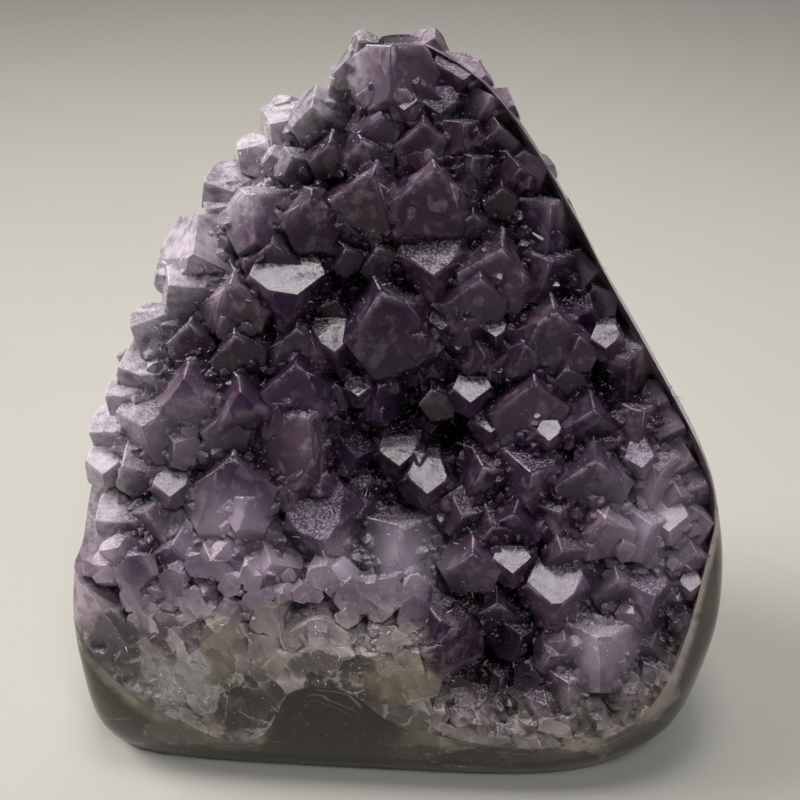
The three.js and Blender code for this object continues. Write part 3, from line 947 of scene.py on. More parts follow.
@dataclass(frozen=True)
class Druse:
    """All the quartz points: those placed one by one, those that fill the gaps and the small ones."""

    overlap: float = 1.15
    simple_size: float = 5.5
    main_back: tuple[float, float] = (0, 0.1)
    lesser_back: tuple[float, float] = (0.3, 0.6)
    lesser_back_large: tuple[float, float] = (0.12, 0.52)
    size_step: float = 0.4
    tip_shift: float = 0.8
    root_length: float = 13.0
    root_sizes: float = 1.5
    fill_x: tuple[float, float] = (-62, 62)
    fill_t: tuple[float, float] = (4, 140)
    fill_step: float = 7.4
    fill_jitter: float = 3.6
    fill_size: tuple[float, float] = (2.8, 4.6)
    fill_lean: float = 18.0
    fill_upward: float = 6.0
    fill_depth: float = 2.5
    fill_room: float = 2.8
    fill_overlap: float = 0.75
    fill_below: float = 9.0
    fill_below_right: float = 4.0
    glint_lean: float = -8.0
    grown_size: float = 4.0
    richly_grown_size: float = 6.0
    section: SmallPoints = SmallPoints(
        x_range=(-68, 8),
        t_range=(4, 46),
        step=3.3,
        jitter=0.5,
        size=(1.5, 3.2),
        reach=(0.8, 1.25),
        back=0.5,
        root=7.0,
        chamfer=0.05,
    )
    section_rise: tuple[float, float] = (-1.0, 3.4)
    section_fan: float = 0.35
    ledge: SmallPoints = SmallPoints(
        x_range=(9, 64),
        t_range=(3, 66),
        step=3.6,
        jitter=0.45,
        size=(1.8, 4.2),
        reach=(0.85, 1.2),
        back=0.45,
        root=9.0,
        chamfer=0.06,
    )
    ledge_below: float = 9.0
    ledge_above: float = 3.5
    ledge_rise: tuple[float, float] = (1.1, 2.0)
    ledge_cut: float = 0.8
    crevice: SmallPoints = SmallPoints(
        x_range=(-70, 70),
        t_range=(6, 152),
        step=1.7,
        jitter=0.4,
        size=(0.5, 1.7),
        reach=(0.85, 1.2),
        back=0.4,
        root=3.0,
        chamfer=0.0,
        root_sizes=2.2,
    )
    crevice_depth: float = 0.5
    crevice_rise: tuple[float, float] = (0.5, 1.25)
    crevice_lean: float = 25.0
    seed: int = 41
    # x, t, size, lean to the right, lean upward, turn about the axis, extra height
    listed: tuple[tuple[float, ...], ...] = (
        (-1.8, 143.8, 7, 0, 20, 90, 1), (6.6, 147, 2.6, 12, 8, 20, -2),
        (-7.4, 146.4, 2.8, -18, 6, 60, -1), (0.8, 133.8, 2.2, 0, -26, 90, 1.5),
        (5.6, 145, 4.4, 10, 0, 30, -4), (-9.6, 142.6, 3.6, -20, 5, 20, -1),
        (-12.4, 138, 3.2, -30, 0, 50, -2), (-17, 133, 4.8, -8, 8, 30, 0),
        (-24, 130, 5, -25, 0, 75, 0), (-30.4, 124.6, 3.6, -35, 5, 75, -1),
        (-25.2, 123.8, 2.4, -10, 10, 30, -1), (-36.5, 118, 4.2, -38, 5, 40, -2),
        (-37, 112.5, 3.4, -30, 15, 80, -2), (-28.4, 113.6, 6.8, -6, 22, 90, 1),
        (-18, 113.6, 5.8, 4, 22, 30, 0), (-21.6, 123, 3, 0, 15, 60, -1),
        (-14, 125.4, 4, -5, 15, 30, -1), (-6, 118.6, 7, 0, 14, 20, 1),
        (-4.4, 131, 4.2, 6, 18, 30, 0), (-7.6, 125.6, 4.6, -4, 18, 50, 0),
        (11.6, 139.8, 4, 18, -14, 90, 0), (16, 140, 2.6, 25, 0, 40, -1),
        (4.4, 137.6, 3.8, 0, 22, 30, -1), (8, 133.4, 3.4, 4, -20, 90, -1),
        (17.4, 134.4, 4.2, 14, 20, 60, 0), (21, 134, 3.4, 30, 0, 30, -1),
        (4.4, 129, 4.4, 2, 22, 30, 0), (12, 129.4, 4, 8, 20, 90, 0),
        (19, 129, 4.4, 12, 16, 40, 0), (0.4, 125, 2.6, 10, 0, 25, -5),
        (6.6, 119, 7.2, 6, 24, 30, 1), (13.6, 122.6, 4.4, 8, 18, 80, -1),
        (17.4, 118.6, 3.4, -6, 0, 35, -4), (23, 121, 4, 14, 12, 50, 0),
        (28, 121.6, 4, 28, 5, 75, 0), (20.4, 116.4, 3.2, 0, 20, 30, -1),
        (29, 112.6, 6.2, 12, 20, 90, 1), (14.6, 111.4, 4.6, -4, 15, 30, -2),
        (20, 103.8, 6.8, 6, 18, 20, 1), (7.2, 101.8, 6.8, -2, -18, 90, 1),
        (15.6, 98.2, 6.8, 4, 14, 30, 1), (-11, 104.6, 3, 0, 20, 60, -1),
        (-11, 110.6, 3.8, -12, 14, 20, -2), (-2.4, 110, 4.2, -6, 10, 70, -3),
        (5.6, 110, 3.6, 8, 12, 95, -2), (-4, 105, 4.6, -6, 14, 50, -2),
        (-25.2, 105.6, 5, 0, 18, 30, -1), (-40, 104.6, 7.2, -6, -6, 30, 1.5),
        (-44, 97.4, 6.2, -22, 6, 60, 0), (-50, 89, 5.6, -38, 8, 88, -1),
        (-53, 81, 5, -40, 8, 40, -1), (-42, 88.4, 4.4, -6, 30, 30, -2),
        (-33.6, 96, 5.8, -4, 20, 30, 0), (-22.8, 97, 6.6, 4, -22, 90, 1.5),
        (-21, 87.4, 6, 0, 24, 30, -1), (-33, 86.4, 5.2, -6, 18, 40, -1),
        (-13, 94, 3.4, 8, 20, 10, -3), (-3.2, 93.4, 8.2, -4, 24, 50, 1),
        (-13, 85.8, 4.4, 3, -20, 95, 1), (9, 93, 2.3, -2, -21, 90, 1),
        (8.4, 89.8, 2.3, -2, -21, 90, 1.5), (16.2, 84.6, 4.6, 14, -10, 60, 0),
        (22.4, 84.2, 4.4, 6, 18, 30, -1), (19, 88.4, 2.6, -4, -21, 90, 0.5),
        (8, 84.4, 4.4, 8, 18, 30, -2), (31, 90.4, 7.6, 2, 22, 30, 1),
        (29, 101.6, 5.6, 8, 10, 80, 0), (28.4, 107.4, 2, -5, -21, 90, 0.5),
        (38, 101.4, 3.8, 30, 0, 60, 0), (37.4, 92.4, 3.4, 20, 8, 20, 0),
        (42, 95.6, 3.4, 32, 10, 95, 0), (45, 82.4, 6.4, 4, 2, 96, 1),
        (26.8, 76, 7.6, -2, 24, 30, 0), (28.6, 84, 3.6, -4, -8, 90, -1),
        (33.6, 80, 4, -8, 20, 45, -1), (38.6, 72.4, 5.4, 4, 14, 30, 0),
        (47.6, 71, 5.8, 12, 20, 88, 0), (52.4, 75, 3, 28, 0, 30, 0),
        (55, 69.6, 4, 32, 0, 30, 0), (14.2, 75.4, 3.4, -3, -20, 88, 3),
        (7, 76.4, 3.6, -12, 16, 40, -1), (-4.6, 77, 5.2, 4, 16, 80, -1),
        (-8.4, 76.4, 2.6, 2, -19, 90, 2), (-5, 83.4, 5, 8, 14, 60, -1),
        (-21, 79.6, 7, 2, 26, 30, 0), (-43, 76.8, 5.8, -8, 6, 30, 1),
        (-50.6, 70, 6, -6, -2, 98, 1), (-31.8, 74.6, 6, 4, 4, 40, 1),
        (-56, 75.4, 4, -40, 0, 60, -1), (-59, 68.5, 4.2, -40, -5, 60, -1),
        (-20.4, 68.6, 8, 22, 16, 100, 1), (-20.6, 59.6, 5.2, 10, 16, 30, 0),
        (-35.2, 70.6, 4.4, -4, 22, 30, -1), (-44.6, 66, 3.6, -12, 14, 80, -1),
        (-38.4, 65.8, 4, -6, 16, 20, -3), (-45, 59.4, 3, -10, 0, 70, -5),
        (-34, 59.4, 8, 0, 34, 30, -1), (-33.6, 50.6, 9.4, -2, 26, 30, -1.5),
        (-57.4, 50.6, 5.6, -34, 5, 60, -1), (-60, 61, 3.4, 10, -18, 90, 1),
        (-50, 51.4, 5.4, -14, 14, 0, -1), (-46.4, 56.8, 3.4, 8, -17, 90, 0.5),
        (-54, 61.5, 5, -22, 4, 45, 0), (0, 63, 3.6, 0, -19, 92, 6),
        (5.4, 57.4, 4.2, -1, -18, 86, 6), (-10, 64, 4.4, 18, -6, 70, 0),
        (18.2, 69.4, 3.2, -3, -18, 92, 1), (17.6, 60.6, 6.6, -10, 16, 60, 0),
        (22, 69, 3.4, 0, 6, 40, -1), (29, 68.6, 4.6, -2, 14, 30, -1),
        (27, 60.4, 7.6, -10, 6, 80, 1), (39.4, 60.8, 7.4, -4, 18, 30, 1),
        (51.6, 61, 6.2, 6, 2, 84, 1), (57, 63, 3.6, 26, 0, 40, 0),
        (60.2, 57.4, 4, 18, 4, 20, 0), (61.4, 50, 3.6, 18, 4, 70, 0),
        (58.4, 43.8, 4.4, 10, 8, 40, 0), (55.8, 56, 3.4, 6, 2, 50, 0),
        (60.4, 68, 3, 24, 4, 30, 0), (41.6, 49.8, 5.6, -8, 14, 40, 1),
        (49.6, 49, 5.8, 8, 10, 75, 1), (54.4, 49.6, 3.4, -10, -16, 92, 1.5),
        (24, 51.4, 5.4, -12, 12, 20, 0), (32, 51.6, 4.4, -2, 12, 95, 0),
        (33, 45.4, 4.4, -10, -6, 50, 0), (34, 40.6, 4.2, -8, 20, 30, -3),
        (22.8, 40.8, 3.4, -4, -15, 92, 4), (18.6, 49, 4.4, -8, 10, 50, 0),
        (15, 43, 5.4, -4, 18, 30, 1), (31.8, 35, 5.8, -6, -15, 88, 2),
        (40.6, 25.4, 7.8, 0, 14, 90, 2), (50, 35.4, 5.6, 8, 6, 90, 1),
        (43.4, 38.6, 4.4, 0, 10, 40, 0), (30.4, 23.8, 3.2, -14, 6, 60, 0),
        (34.4, 17.6, 4.8, -8, 14, 88, 0), (19, 33.4, 5.4, 0, 12, 30, -1),
        (7.8, 28.4, 8, 12, 12, 60, 2), (24, 27.4, 4.4, 2, 6, 80, -2),
        (-15, 48.4, 6.8, 4, -16, 108, 2), (0, 45.4, 9.6, 0, 30, 90, -2.5),
        (12.6, 52, 4, -6, -4, 60, 0), (-26, 42, 5.4, 6, 8, 50, 0),
        (-38, 42, 5, 0, 10, 60, 0), (-45, 45, 5, -10, 14, 15, 0),
        (58.4, 37.2, 2.2, -11, -15, 90, 1), (48.6, 62.4, 2.8, -9, -18, 98, 3),
        (30, 67.4, 2.2, -6, -19, 90, 2), (41.4, 86, 2.6, -8, -19, 90, 4),
    )

    def listed_point(self, row: tuple[float, ...], number: int) -> QuartzPoint:
        """A point from a row of the list.

        Args:
            row: Its place, size, leans, turn and extra height.
            number: The row's number, which varies the faces.

        Returns:
            The point.
        """
        x, t, bare_size, lean_x, lean_t, turn, extra = row
        size = self.overlap * bare_size
        shift_x = self.tip_shift * bare_size * math.tan(math.radians(lean_x))
        shift_t = self.tip_shift * bare_size * math.tan(math.radians(lean_t))
        height = float(FORM.druse_height(x, t)) + extra + self.size_step * (bare_size - self.simple_size)
        lesser = self.lesser_back if bare_size < self.simple_size else self.lesser_back_large
        ranges = (self.main_back, lesser) * 3
        return QuartzPoint(
            tip=PLANE.place(x + shift_x, t + shift_t, height),
            axis=axis_of(lean_x, lean_t),
            size=size,
            turn=turn,
            reaches=tuple(chance(number, k, 0.9, 1.16) for k in range(6)),
            backs=tuple(chance(number, k + 7, *ends) for k, ends in enumerate(ranges)),
            root=self.root_length + self.root_sizes * size,
            tone=chance(number, 21, 0.0, 1.0),
            chamfer=min(0.05 + 0.02 * size, 0.2),
        )

    def fill_rows(self) -> list[tuple[float, ...]]:
        """Rows for the places that the list leaves empty.

        Returns:
            The rows, like those of the list.
        """
        rows = []
        lean = self.fill_lean
        for t in np.arange(*self.fill_t, self.fill_step):
            for x in np.arange(*self.fill_x, self.fill_step):
                seed = 1000 + round(t * 31 + x)
                px = x + chance(seed, 1, -self.fill_jitter / 2, self.fill_jitter / 2)
                pt = t + chance(seed, 2, -self.fill_jitter / 2, self.fill_jitter / 2)
                low = FORM.polish_edge.at(px) - (self.fill_below if px < self.fill_below_right else 0)
                outside = abs(px) > FORM.half_width(px, pt) - 1 or pt < low
                taken = any(
                    math.hypot(px - qx, pt - qt) < self.fill_overlap * size + self.fill_room
                    for qx, qt, size, *_ in self.listed
                )
                if outside or taken:
                    continue
                size = chance(seed, 3, *self.fill_size)
                lean_x = chance(seed, 4, -lean, lean)
                lean_t = self.fill_upward + chance(seed, 5, -lean, lean)
                rows.append((px, pt, size, lean_x, lean_t, chance(seed, 6, 0, 120), -self.fill_depth))
        return rows

    def main_points(self) -> list[QuartzPoint]:
        """The listed points and the fillers, each large one with its parallel growths.

        Returns:
            The points.
        """
        rows = [*self.listed, *self.fill_rows()]
        points = []
        for number, row in enumerate(rows):
            point = self.listed_point(row, number)
            points.append(point)
            if row[2] >= self.grown_size:
                growths = 3 if row[2] > self.richly_grown_size else 2
                points += [point.grown_beside(number, k) for k in range(growths)]
        return points

    def section_points(self, stone: bpy.types.Mesh) -> list[QuartzPoint]:
        """Points under the ground front, most of which it cuts flat.

        Args:
            stone: The whole stone.

        Returns:
            The points.
        """
        sight = Sight(stone)
        random = np.random.default_rng(self.seed + 1)
        x, t = self.section.grid(random)
        surface = sight.heights(x, t)
        wanted = (FORM.hollow_depth(x, t) > 0) & ~np.isnan(surface)
        points = []
        for px, pt, height in zip(x[wanted], t[wanted], surface[wanted]):
            tip = PLANE.place(px, pt, height + random.uniform(*self.section_rise))
            axis = axis_of(self.section_fan * px + random.uniform(-25, 25), random.uniform(-25, 30))
            points.append(self.section.point(random, tip, axis, random.uniform(*self.section.size)))
        return points

    def on_glinting_face(self, x: float, t: float) -> bool:
        """Whether a place is on the bright upper face of a listed point that leans down.

        Args:
            x: The place, to the right.
            t: The place, up the plane.

        Returns:
            Whether it is.
        """
        return any(
            lean_t < self.glint_lean and math.hypot(x - px, t - pt - 0.7 * size) < 1.05 * size
            for px, pt, size, _, lean_t, _, _ in self.listed
        )

    def ledge_points(self, stone: bpy.types.Mesh) -> list[QuartzPoint]:
        """Points along the lower right edge of the druse, cut flat where they reach the stone's front.

        Args:
            stone: The whole stone.

        Returns:
            The points.
        """
        random = np.random.default_rng(self.seed + 2)
        x, t = self.ledge.grid(random)
        above = t - FORM.polish_edge.at(x)
        surface = Sight(stone).heights(x, t)
        wanted = (above > -self.ledge_below) & (above < self.ledge_above)
        wanted &= (t > FORM.rind_edge.at(x)) & ~np.isnan(surface)
        points = []
        for px, pt, front in zip(x[wanted], t[wanted], surface[wanted]):
            size = random.uniform(*self.ledge.size)
            height = float(FORM.root_height(px, pt)) + size * random.uniform(*self.ledge_rise)
            tip = PLANE.place(px, pt, min(height, front + self.ledge_cut))
            axis = axis_of(random.uniform(-22, 22), random.uniform(-8, 34))
            points.append(self.ledge.point(random, tip, axis, size))
        return points

    def crevice_points(self, ground: bpy.types.Mesh) -> list[QuartzPoint]:
        """Small points in the crevices of the druse.

        Args:
            ground: The druse so far.

        Returns:
            The points.
        """
        random = np.random.default_rng(self.seed)
        x, t = self.crevice.grid(random)
        depth = Sight(ground).heights(x, t)
        rows, columns = x.shape
        apart = 2 * self.crevice.step
        points = []
        for j in range(2, rows - 2):
            for i in range(2, columns - 2):
                px, pt, here = x[j, i], t[j, i], depth[j, i]
                around = depth[j - 2 : j + 3, i - 2 : i + 3]
                inside = abs(px) < FORM.half_width(px, pt) - 0.5
                natural = pt > FORM.polish_edge.at(px) - 0.5
                inside = inside and (natural or FORM.hollow_depth(px, pt) > 0.3)
                if not inside or np.isnan(around).any():
                    continue
                if np.mean(around) - here < self.crevice_depth or self.on_glinting_face(px, pt):
                    continue
                size = random.uniform(*self.crevice.size)
                slope_x = (depth[j, i + 1] - depth[j, i - 1]) / apart
                slope_t = (depth[j + 1, i] - depth[j - 1, i]) / apart
                lean_x = float(np.clip(-self.crevice_lean * slope_x, -28, 28)) + random.uniform(-22, 22)
                lean_t = float(np.clip(-self.crevice_lean * slope_t, -24, 24)) + random.uniform(-14, 30)
                tip = PLANE.place(px, pt, here + size * random.uniform(*self.crevice_rise))
                points.append(self.crevice.point(random, tip, axis_of(lean_x, lean_t), size))
        return points


class Value:
    """A number that varies over a surface, with Python's arithmetic as Math nodes."""

    def __init__(self, nodes: "Nodes", socket: bpy.types.NodeSocket) -> None:
        """Wraps a node's output socket."""
        self.nodes = nodes
        self.socket = socket

    def __add__(self, other: Number) -> "Value":
        """The sum."""
        return self.nodes.math("ADD", self, other)

    __radd__ = __add__

    def __mul__(self, other: Number) -> "Value":
        """The product."""
        return self.nodes.math("MULTIPLY", self, other)

    __rmul__ = __mul__

    def __sub__(self, other: Number) -> "Value":
        """The difference."""
        return self.nodes.math("SUBTRACT", self, other)

    def __rsub__(self, other: Number) -> "Value":
        """The difference from a number."""
        return self.nodes.math("SUBTRACT", other, self)

    def __truediv__(self, other: Number) -> "Value":
        """The quotient."""
        return self.nodes.math("DIVIDE", self, other)

    def __pow__(self, other: Number) -> "Value":
        """The power."""
        return self.nodes.math("POWER", self, other)

    def most(self, other: Number) -> "Value":
        """The larger of the two."""
        return self.nodes.math("MAXIMUM", self, other)

    def sine(self) -> "Value":
        """The sine."""
        return self.nodes.value("ShaderNodeMath", {"operation": "SINE"}, {0: self})

    def smooth(self, low: float, high: float) -> "Value":
        """A smooth step from 0 at low to 1 at high, where low may be the larger.

        Args:
            low: Where the step starts.
            high: Where it ends.

        Returns:
            The step.
        """
        inputs = {"Value": self, "From Min": low, "From Max": high}
        if low > high:
            inputs = {"Value": self, "From Min": high, "From Max": low, "To Min": 1.0, "To Max": 0.0}
        return self.nodes.value("ShaderNodeMapRange", {"interpolation_type": "SMOOTHSTEP"}, inputs)


Colour = tuple[float, float, float]
Link = Union[Value, bpy.types.NodeSocket, float, Colour]
MIDDLE: Colour = (0.5, 0.5, 0.5)


def from_screen(red: int, green: int, blue: int) -> Colour:
    """A colour given as a screen's three levels of 0 to 255, as light.

    Args:
        red: The red level.
        green: The green level.
        blue: The blue level.

    Returns:
        The colour, of 0 to 1.
    """

    def light(level: int) -> float:
        """The light of one level."""
        share = level / 255
        return share / 12.92 if share <= 0.04045 else ((share + 0.055) / 1.055) ** 2.4

    return light(red), light(green), light(blue)


class Nodes:
    """A node tree that is filled by expressions."""

    def __init__(self, tree: bpy.types.NodeTree) -> None:
        """Starts with an empty tree."""
        self.tree = tree
        tree.nodes.clear()

    def add(self, kind: str, settings: dict | None = None, inputs: dict | None = None) -> bpy.types.Node:
        """Adds a node.

        Args:
            kind: The node's type.
            settings: Its settings, which are set first.
            inputs: The values or links of its sockets, by name or number.

        Returns:
            The node.
        """
        node = self.tree.nodes.new(kind)
        for name, setting in (settings or {}).items():
            setattr(node, name, setting)
        for name, given in (inputs or {}).items():
            socket = node.inputs[name]
            source = given.socket if isinstance(given, Value) else given
            if isinstance(source, bpy.types.NodeSocket):
                self.tree.links.new(source, socket)
            elif socket.type == "RGBA" and not isinstance(source, (int, float)):
                socket.default_value = (*source, 1.0)
            else:
                socket.default_value = source
        return node

    def value(self, kind: str, settings: dict | None, inputs: dict | None, output: int | str = 0) -> Value:
        """Adds a node and wraps one of its outputs.

        Args:
            kind: The node's type.
            settings: Its settings.
            inputs: The values or links of its sockets.
            output: The name or number of the output.

        Returns:
            The output's value.
        """
        return Value(self, self.add(kind, settings, inputs).outputs[output])

    def math(self, operation: str, first: Number, second: Number) -> Value:
        """Adds a Math node."""
        return self.value("ShaderNodeMath", {"operation": operation}, {0: first, 1: second})

    def mix(self, share: Number, first: Link, second: Link, blend: str = "MIX") -> bpy.types.NodeSocket:
        """Mixes two colours.

        Args:
            share: How much of the second shows.
            first: The first colour.
            second: The second colour.
            blend: Blender's name for the way of mixing.

        Returns:
            The mixed colour's socket.
        """
        settings = {"data_type": "RGBA", "blend_type": blend, "clamp_factor": True}
        return self.add("ShaderNodeMix", settings, {0: share, 6: first, 7: second}).outputs[2]

    def vector(self, operation: str, first: Link, second: Link) -> bpy.types.NodeSocket:
        """Adds a Vector Math node and gives the vector that comes out."""
        return self.add("ShaderNodeVectorMath", {"operation": operation}, {0: first, 1: second}).outputs[0]

    def dot(self, first: Link, second: Link) -> Value:
        """The dot product of two vectors."""
        inputs = {0: first, 1: second}
        return self.value("ShaderNodeVectorMath", {"operation": "DOT_PRODUCT"}, inputs, "Value")

    def dimmed(self, hue: Link, levels: Colour) -> bpy.types.NodeSocket:
        """A colour with its three levels lowered by factors."""
        return self.mix(1.0, hue, levels, "MULTIPLY")

    def attribute(self, name: str) -> Value:
        """A named value of the piece's own mesh."""
        return self.value("ShaderNodeAttribute", {"attribute_name": name}, None, "Fac")

    def places(self) -> bpy.types.NodeSocket:
        """Object coordinates, in metres."""
        return self.add("ShaderNodeTexCoord").outputs["Object"]

    def noise(self, places: Link, size: float, detail: float = 3.0, roughness: float = 0.55) -> Value:
        """Cloudy noise.

        Args:
            places: The coordinates that it reads.
            size: The width of its clouds in millimetres.
            detail: How many finer octaves it has.
            roughness: How strong those are.

        Returns:
            The noise, about a half on the mean.
        """
        inputs = {"Vector": places, "Scale": 1 / (size * MM), "Detail": detail, "Roughness": roughness}
        return self.value("ShaderNodeTexNoise", {"noise_dimensions": "3D"}, inputs, "Fac")

    def cells(self, places: Link, size: float, feature: str = "F1", output: str = "Distance") -> Value:
        """Cells of a given size in millimetres: the distance within each, or another output."""
        inputs = {"Vector": places, "Scale": 1 / (size * MM)}
        return self.value("ShaderNodeTexVoronoi", {"feature": feature}, inputs, output)

    def shards(self, places: Link, size: float) -> Value:
        """Cells that each shade evenly from one side to the other, as broken crystal does.

        Args:
            places: The coordinates that it reads.
            size: The cells' width in millimetres.

        Returns:
            The shade, about nought on the mean and seldom beyond a half.
        """
        inputs = {"Vector": places, "Scale": 1 / (size * MM)}
        cell = self.add("ShaderNodeTexVoronoi", None, inputs).outputs
        away = self.vector("SUBTRACT", places, cell["Position"])
        slope = self.dot(away, self.vector("SUBTRACT", cell["Color"], MIDDLE))
        own = Value(self, self.add("ShaderNodeSeparateColor", None, {0: cell["Color"]}).outputs[0])
        return slope / (0.5 * size * MM) + (own - 0.5) * 0.55

    def reach(self, places: Link, direction: Array, middle: float) -> Value:
        """How far places reach along a direction, in millimetres from a middle.

        Args:
            places: The coordinates that it reads.
            direction: The direction, of length one.
            middle: Where the distance is nought, in the stone's own millimetres.

        Returns:
            The distance.
        """
        start = middle + float(direction @ np.array(PLANE.to_frame))
        return self.dot(places, tuple(direction / MM)) - start

    def patch(self, places: Link, x: float, t: float, width: float, height: float) -> Value:
        """How near places on the ground front are to the middle of an ellipse, as they are seen.

        Args:
            places: The coordinates that it reads.
            x: The middle's place to the right.
            t: The middle's place up the seen plane.
            width: The ellipse's half width.
            height: Its half height.

        Returns:
            0 at the middle, 1 on the ellipse and more outside.
        """
        shrink = 1 - FORM.druse_foot / PLANE.eye_distance
        across = self.reach(places, ACROSS, x * shrink) / width
        rise = PLANE.eye_height + (t - PLANE.eye_height) * shrink
        up = self.reach(places, PLANE.upward, rise) / height
        return (across * across + up * up) ** 0.5

    def warped(self, places: Link, size: float, amount: float) -> bpy.types.NodeSocket:
        """Coordinates shifted by cloudy noise.

        Args:
            places: The coordinates that it reads.
            size: The noise's width in millimetres.
            amount: How far it shifts them, in millimetres.

        Returns:
            The shifted coordinates.
        """
        inputs = {"Vector": places, "Scale": 1 / (size * MM), "Detail": 4.0, "Roughness": 0.6}
        cloud = self.add("ShaderNodeTexNoise", {"noise_dimensions": "3D"}, inputs).outputs["Color"]
        scaled = {0: self.vector("SUBTRACT", cloud, MIDDLE), "Scale": 2 * amount * MM}
        shift = self.add("ShaderNodeVectorMath", {"operation": "SCALE"}, scaled)
        return self.vector("ADD", places, shift.outputs[0])

    def turned(self, places: Link, angles: Sequence[float], scales: Sequence[float]) -> bpy.types.NodeSocket:
        """Coordinates turned by angles in degrees and then stretched.

        Args:
            places: The coordinates that it reads.
            angles: The three angles in degrees.
            scales: The three factors.

        Returns:
            The turned coordinates.
        """
        inputs = {"Vector": places, "Rotation": tuple(math.radians(a) for a in angles)}
        turned = self.add("ShaderNodeVectorRotate", {"rotation_type": "EULER_XYZ"}, inputs)
        return self.vector("MULTIPLY", turned.outputs[0], tuple(scales))

    def shine(self, **inputs: Link) -> bpy.types.NodeSocket:
        """Adds a Principled shader with sockets given by their names, spaces written as underscores."""
        named = {name.replace("_", " "): given for name, given in inputs.items()}
        return self.add("ShaderNodeBsdfPrincipled", None, named).outputs[0]

    def between(
        self, share: Value, first: bpy.types.NodeSocket, second: bpy.types.NodeSocket
    ) -> bpy.types.NodeSocket:
        """Mixes two shaders.

        Args:
            share: How much of the second shows.
            first: The first shader.
            second: The second shader.

        Returns:
            The mixed shader.
        """
        return self.add("ShaderNodeMixShader", None, {0: share, 1: first, 2: second}).outputs[0]

    def finish(self, surface: bpy.types.NodeSocket, volume: bpy.types.NodeSocket | None = None) -> None:
        """Links the shaders to the material's output.

        Args:
            surface: The surface's shader.
            volume: The volume's shader, if there is one.
        """
        output = self.add("ShaderNodeOutputMaterial", None, {"Surface": surface})
        if volume is not None:
            self.tree.links.new(volume, output.inputs["Volume"])


def new_material(name: str) -> tuple[bpy.types.Material, Nodes]:
    """An empty material and its nodes.

    Args:
        name: The material's name.

    Returns:
        The material, and its tree to be filled.
    """
    material = bpy.data.materials.new(name)
    material.use_nodes = True
    return material, Nodes(material.node_tree)


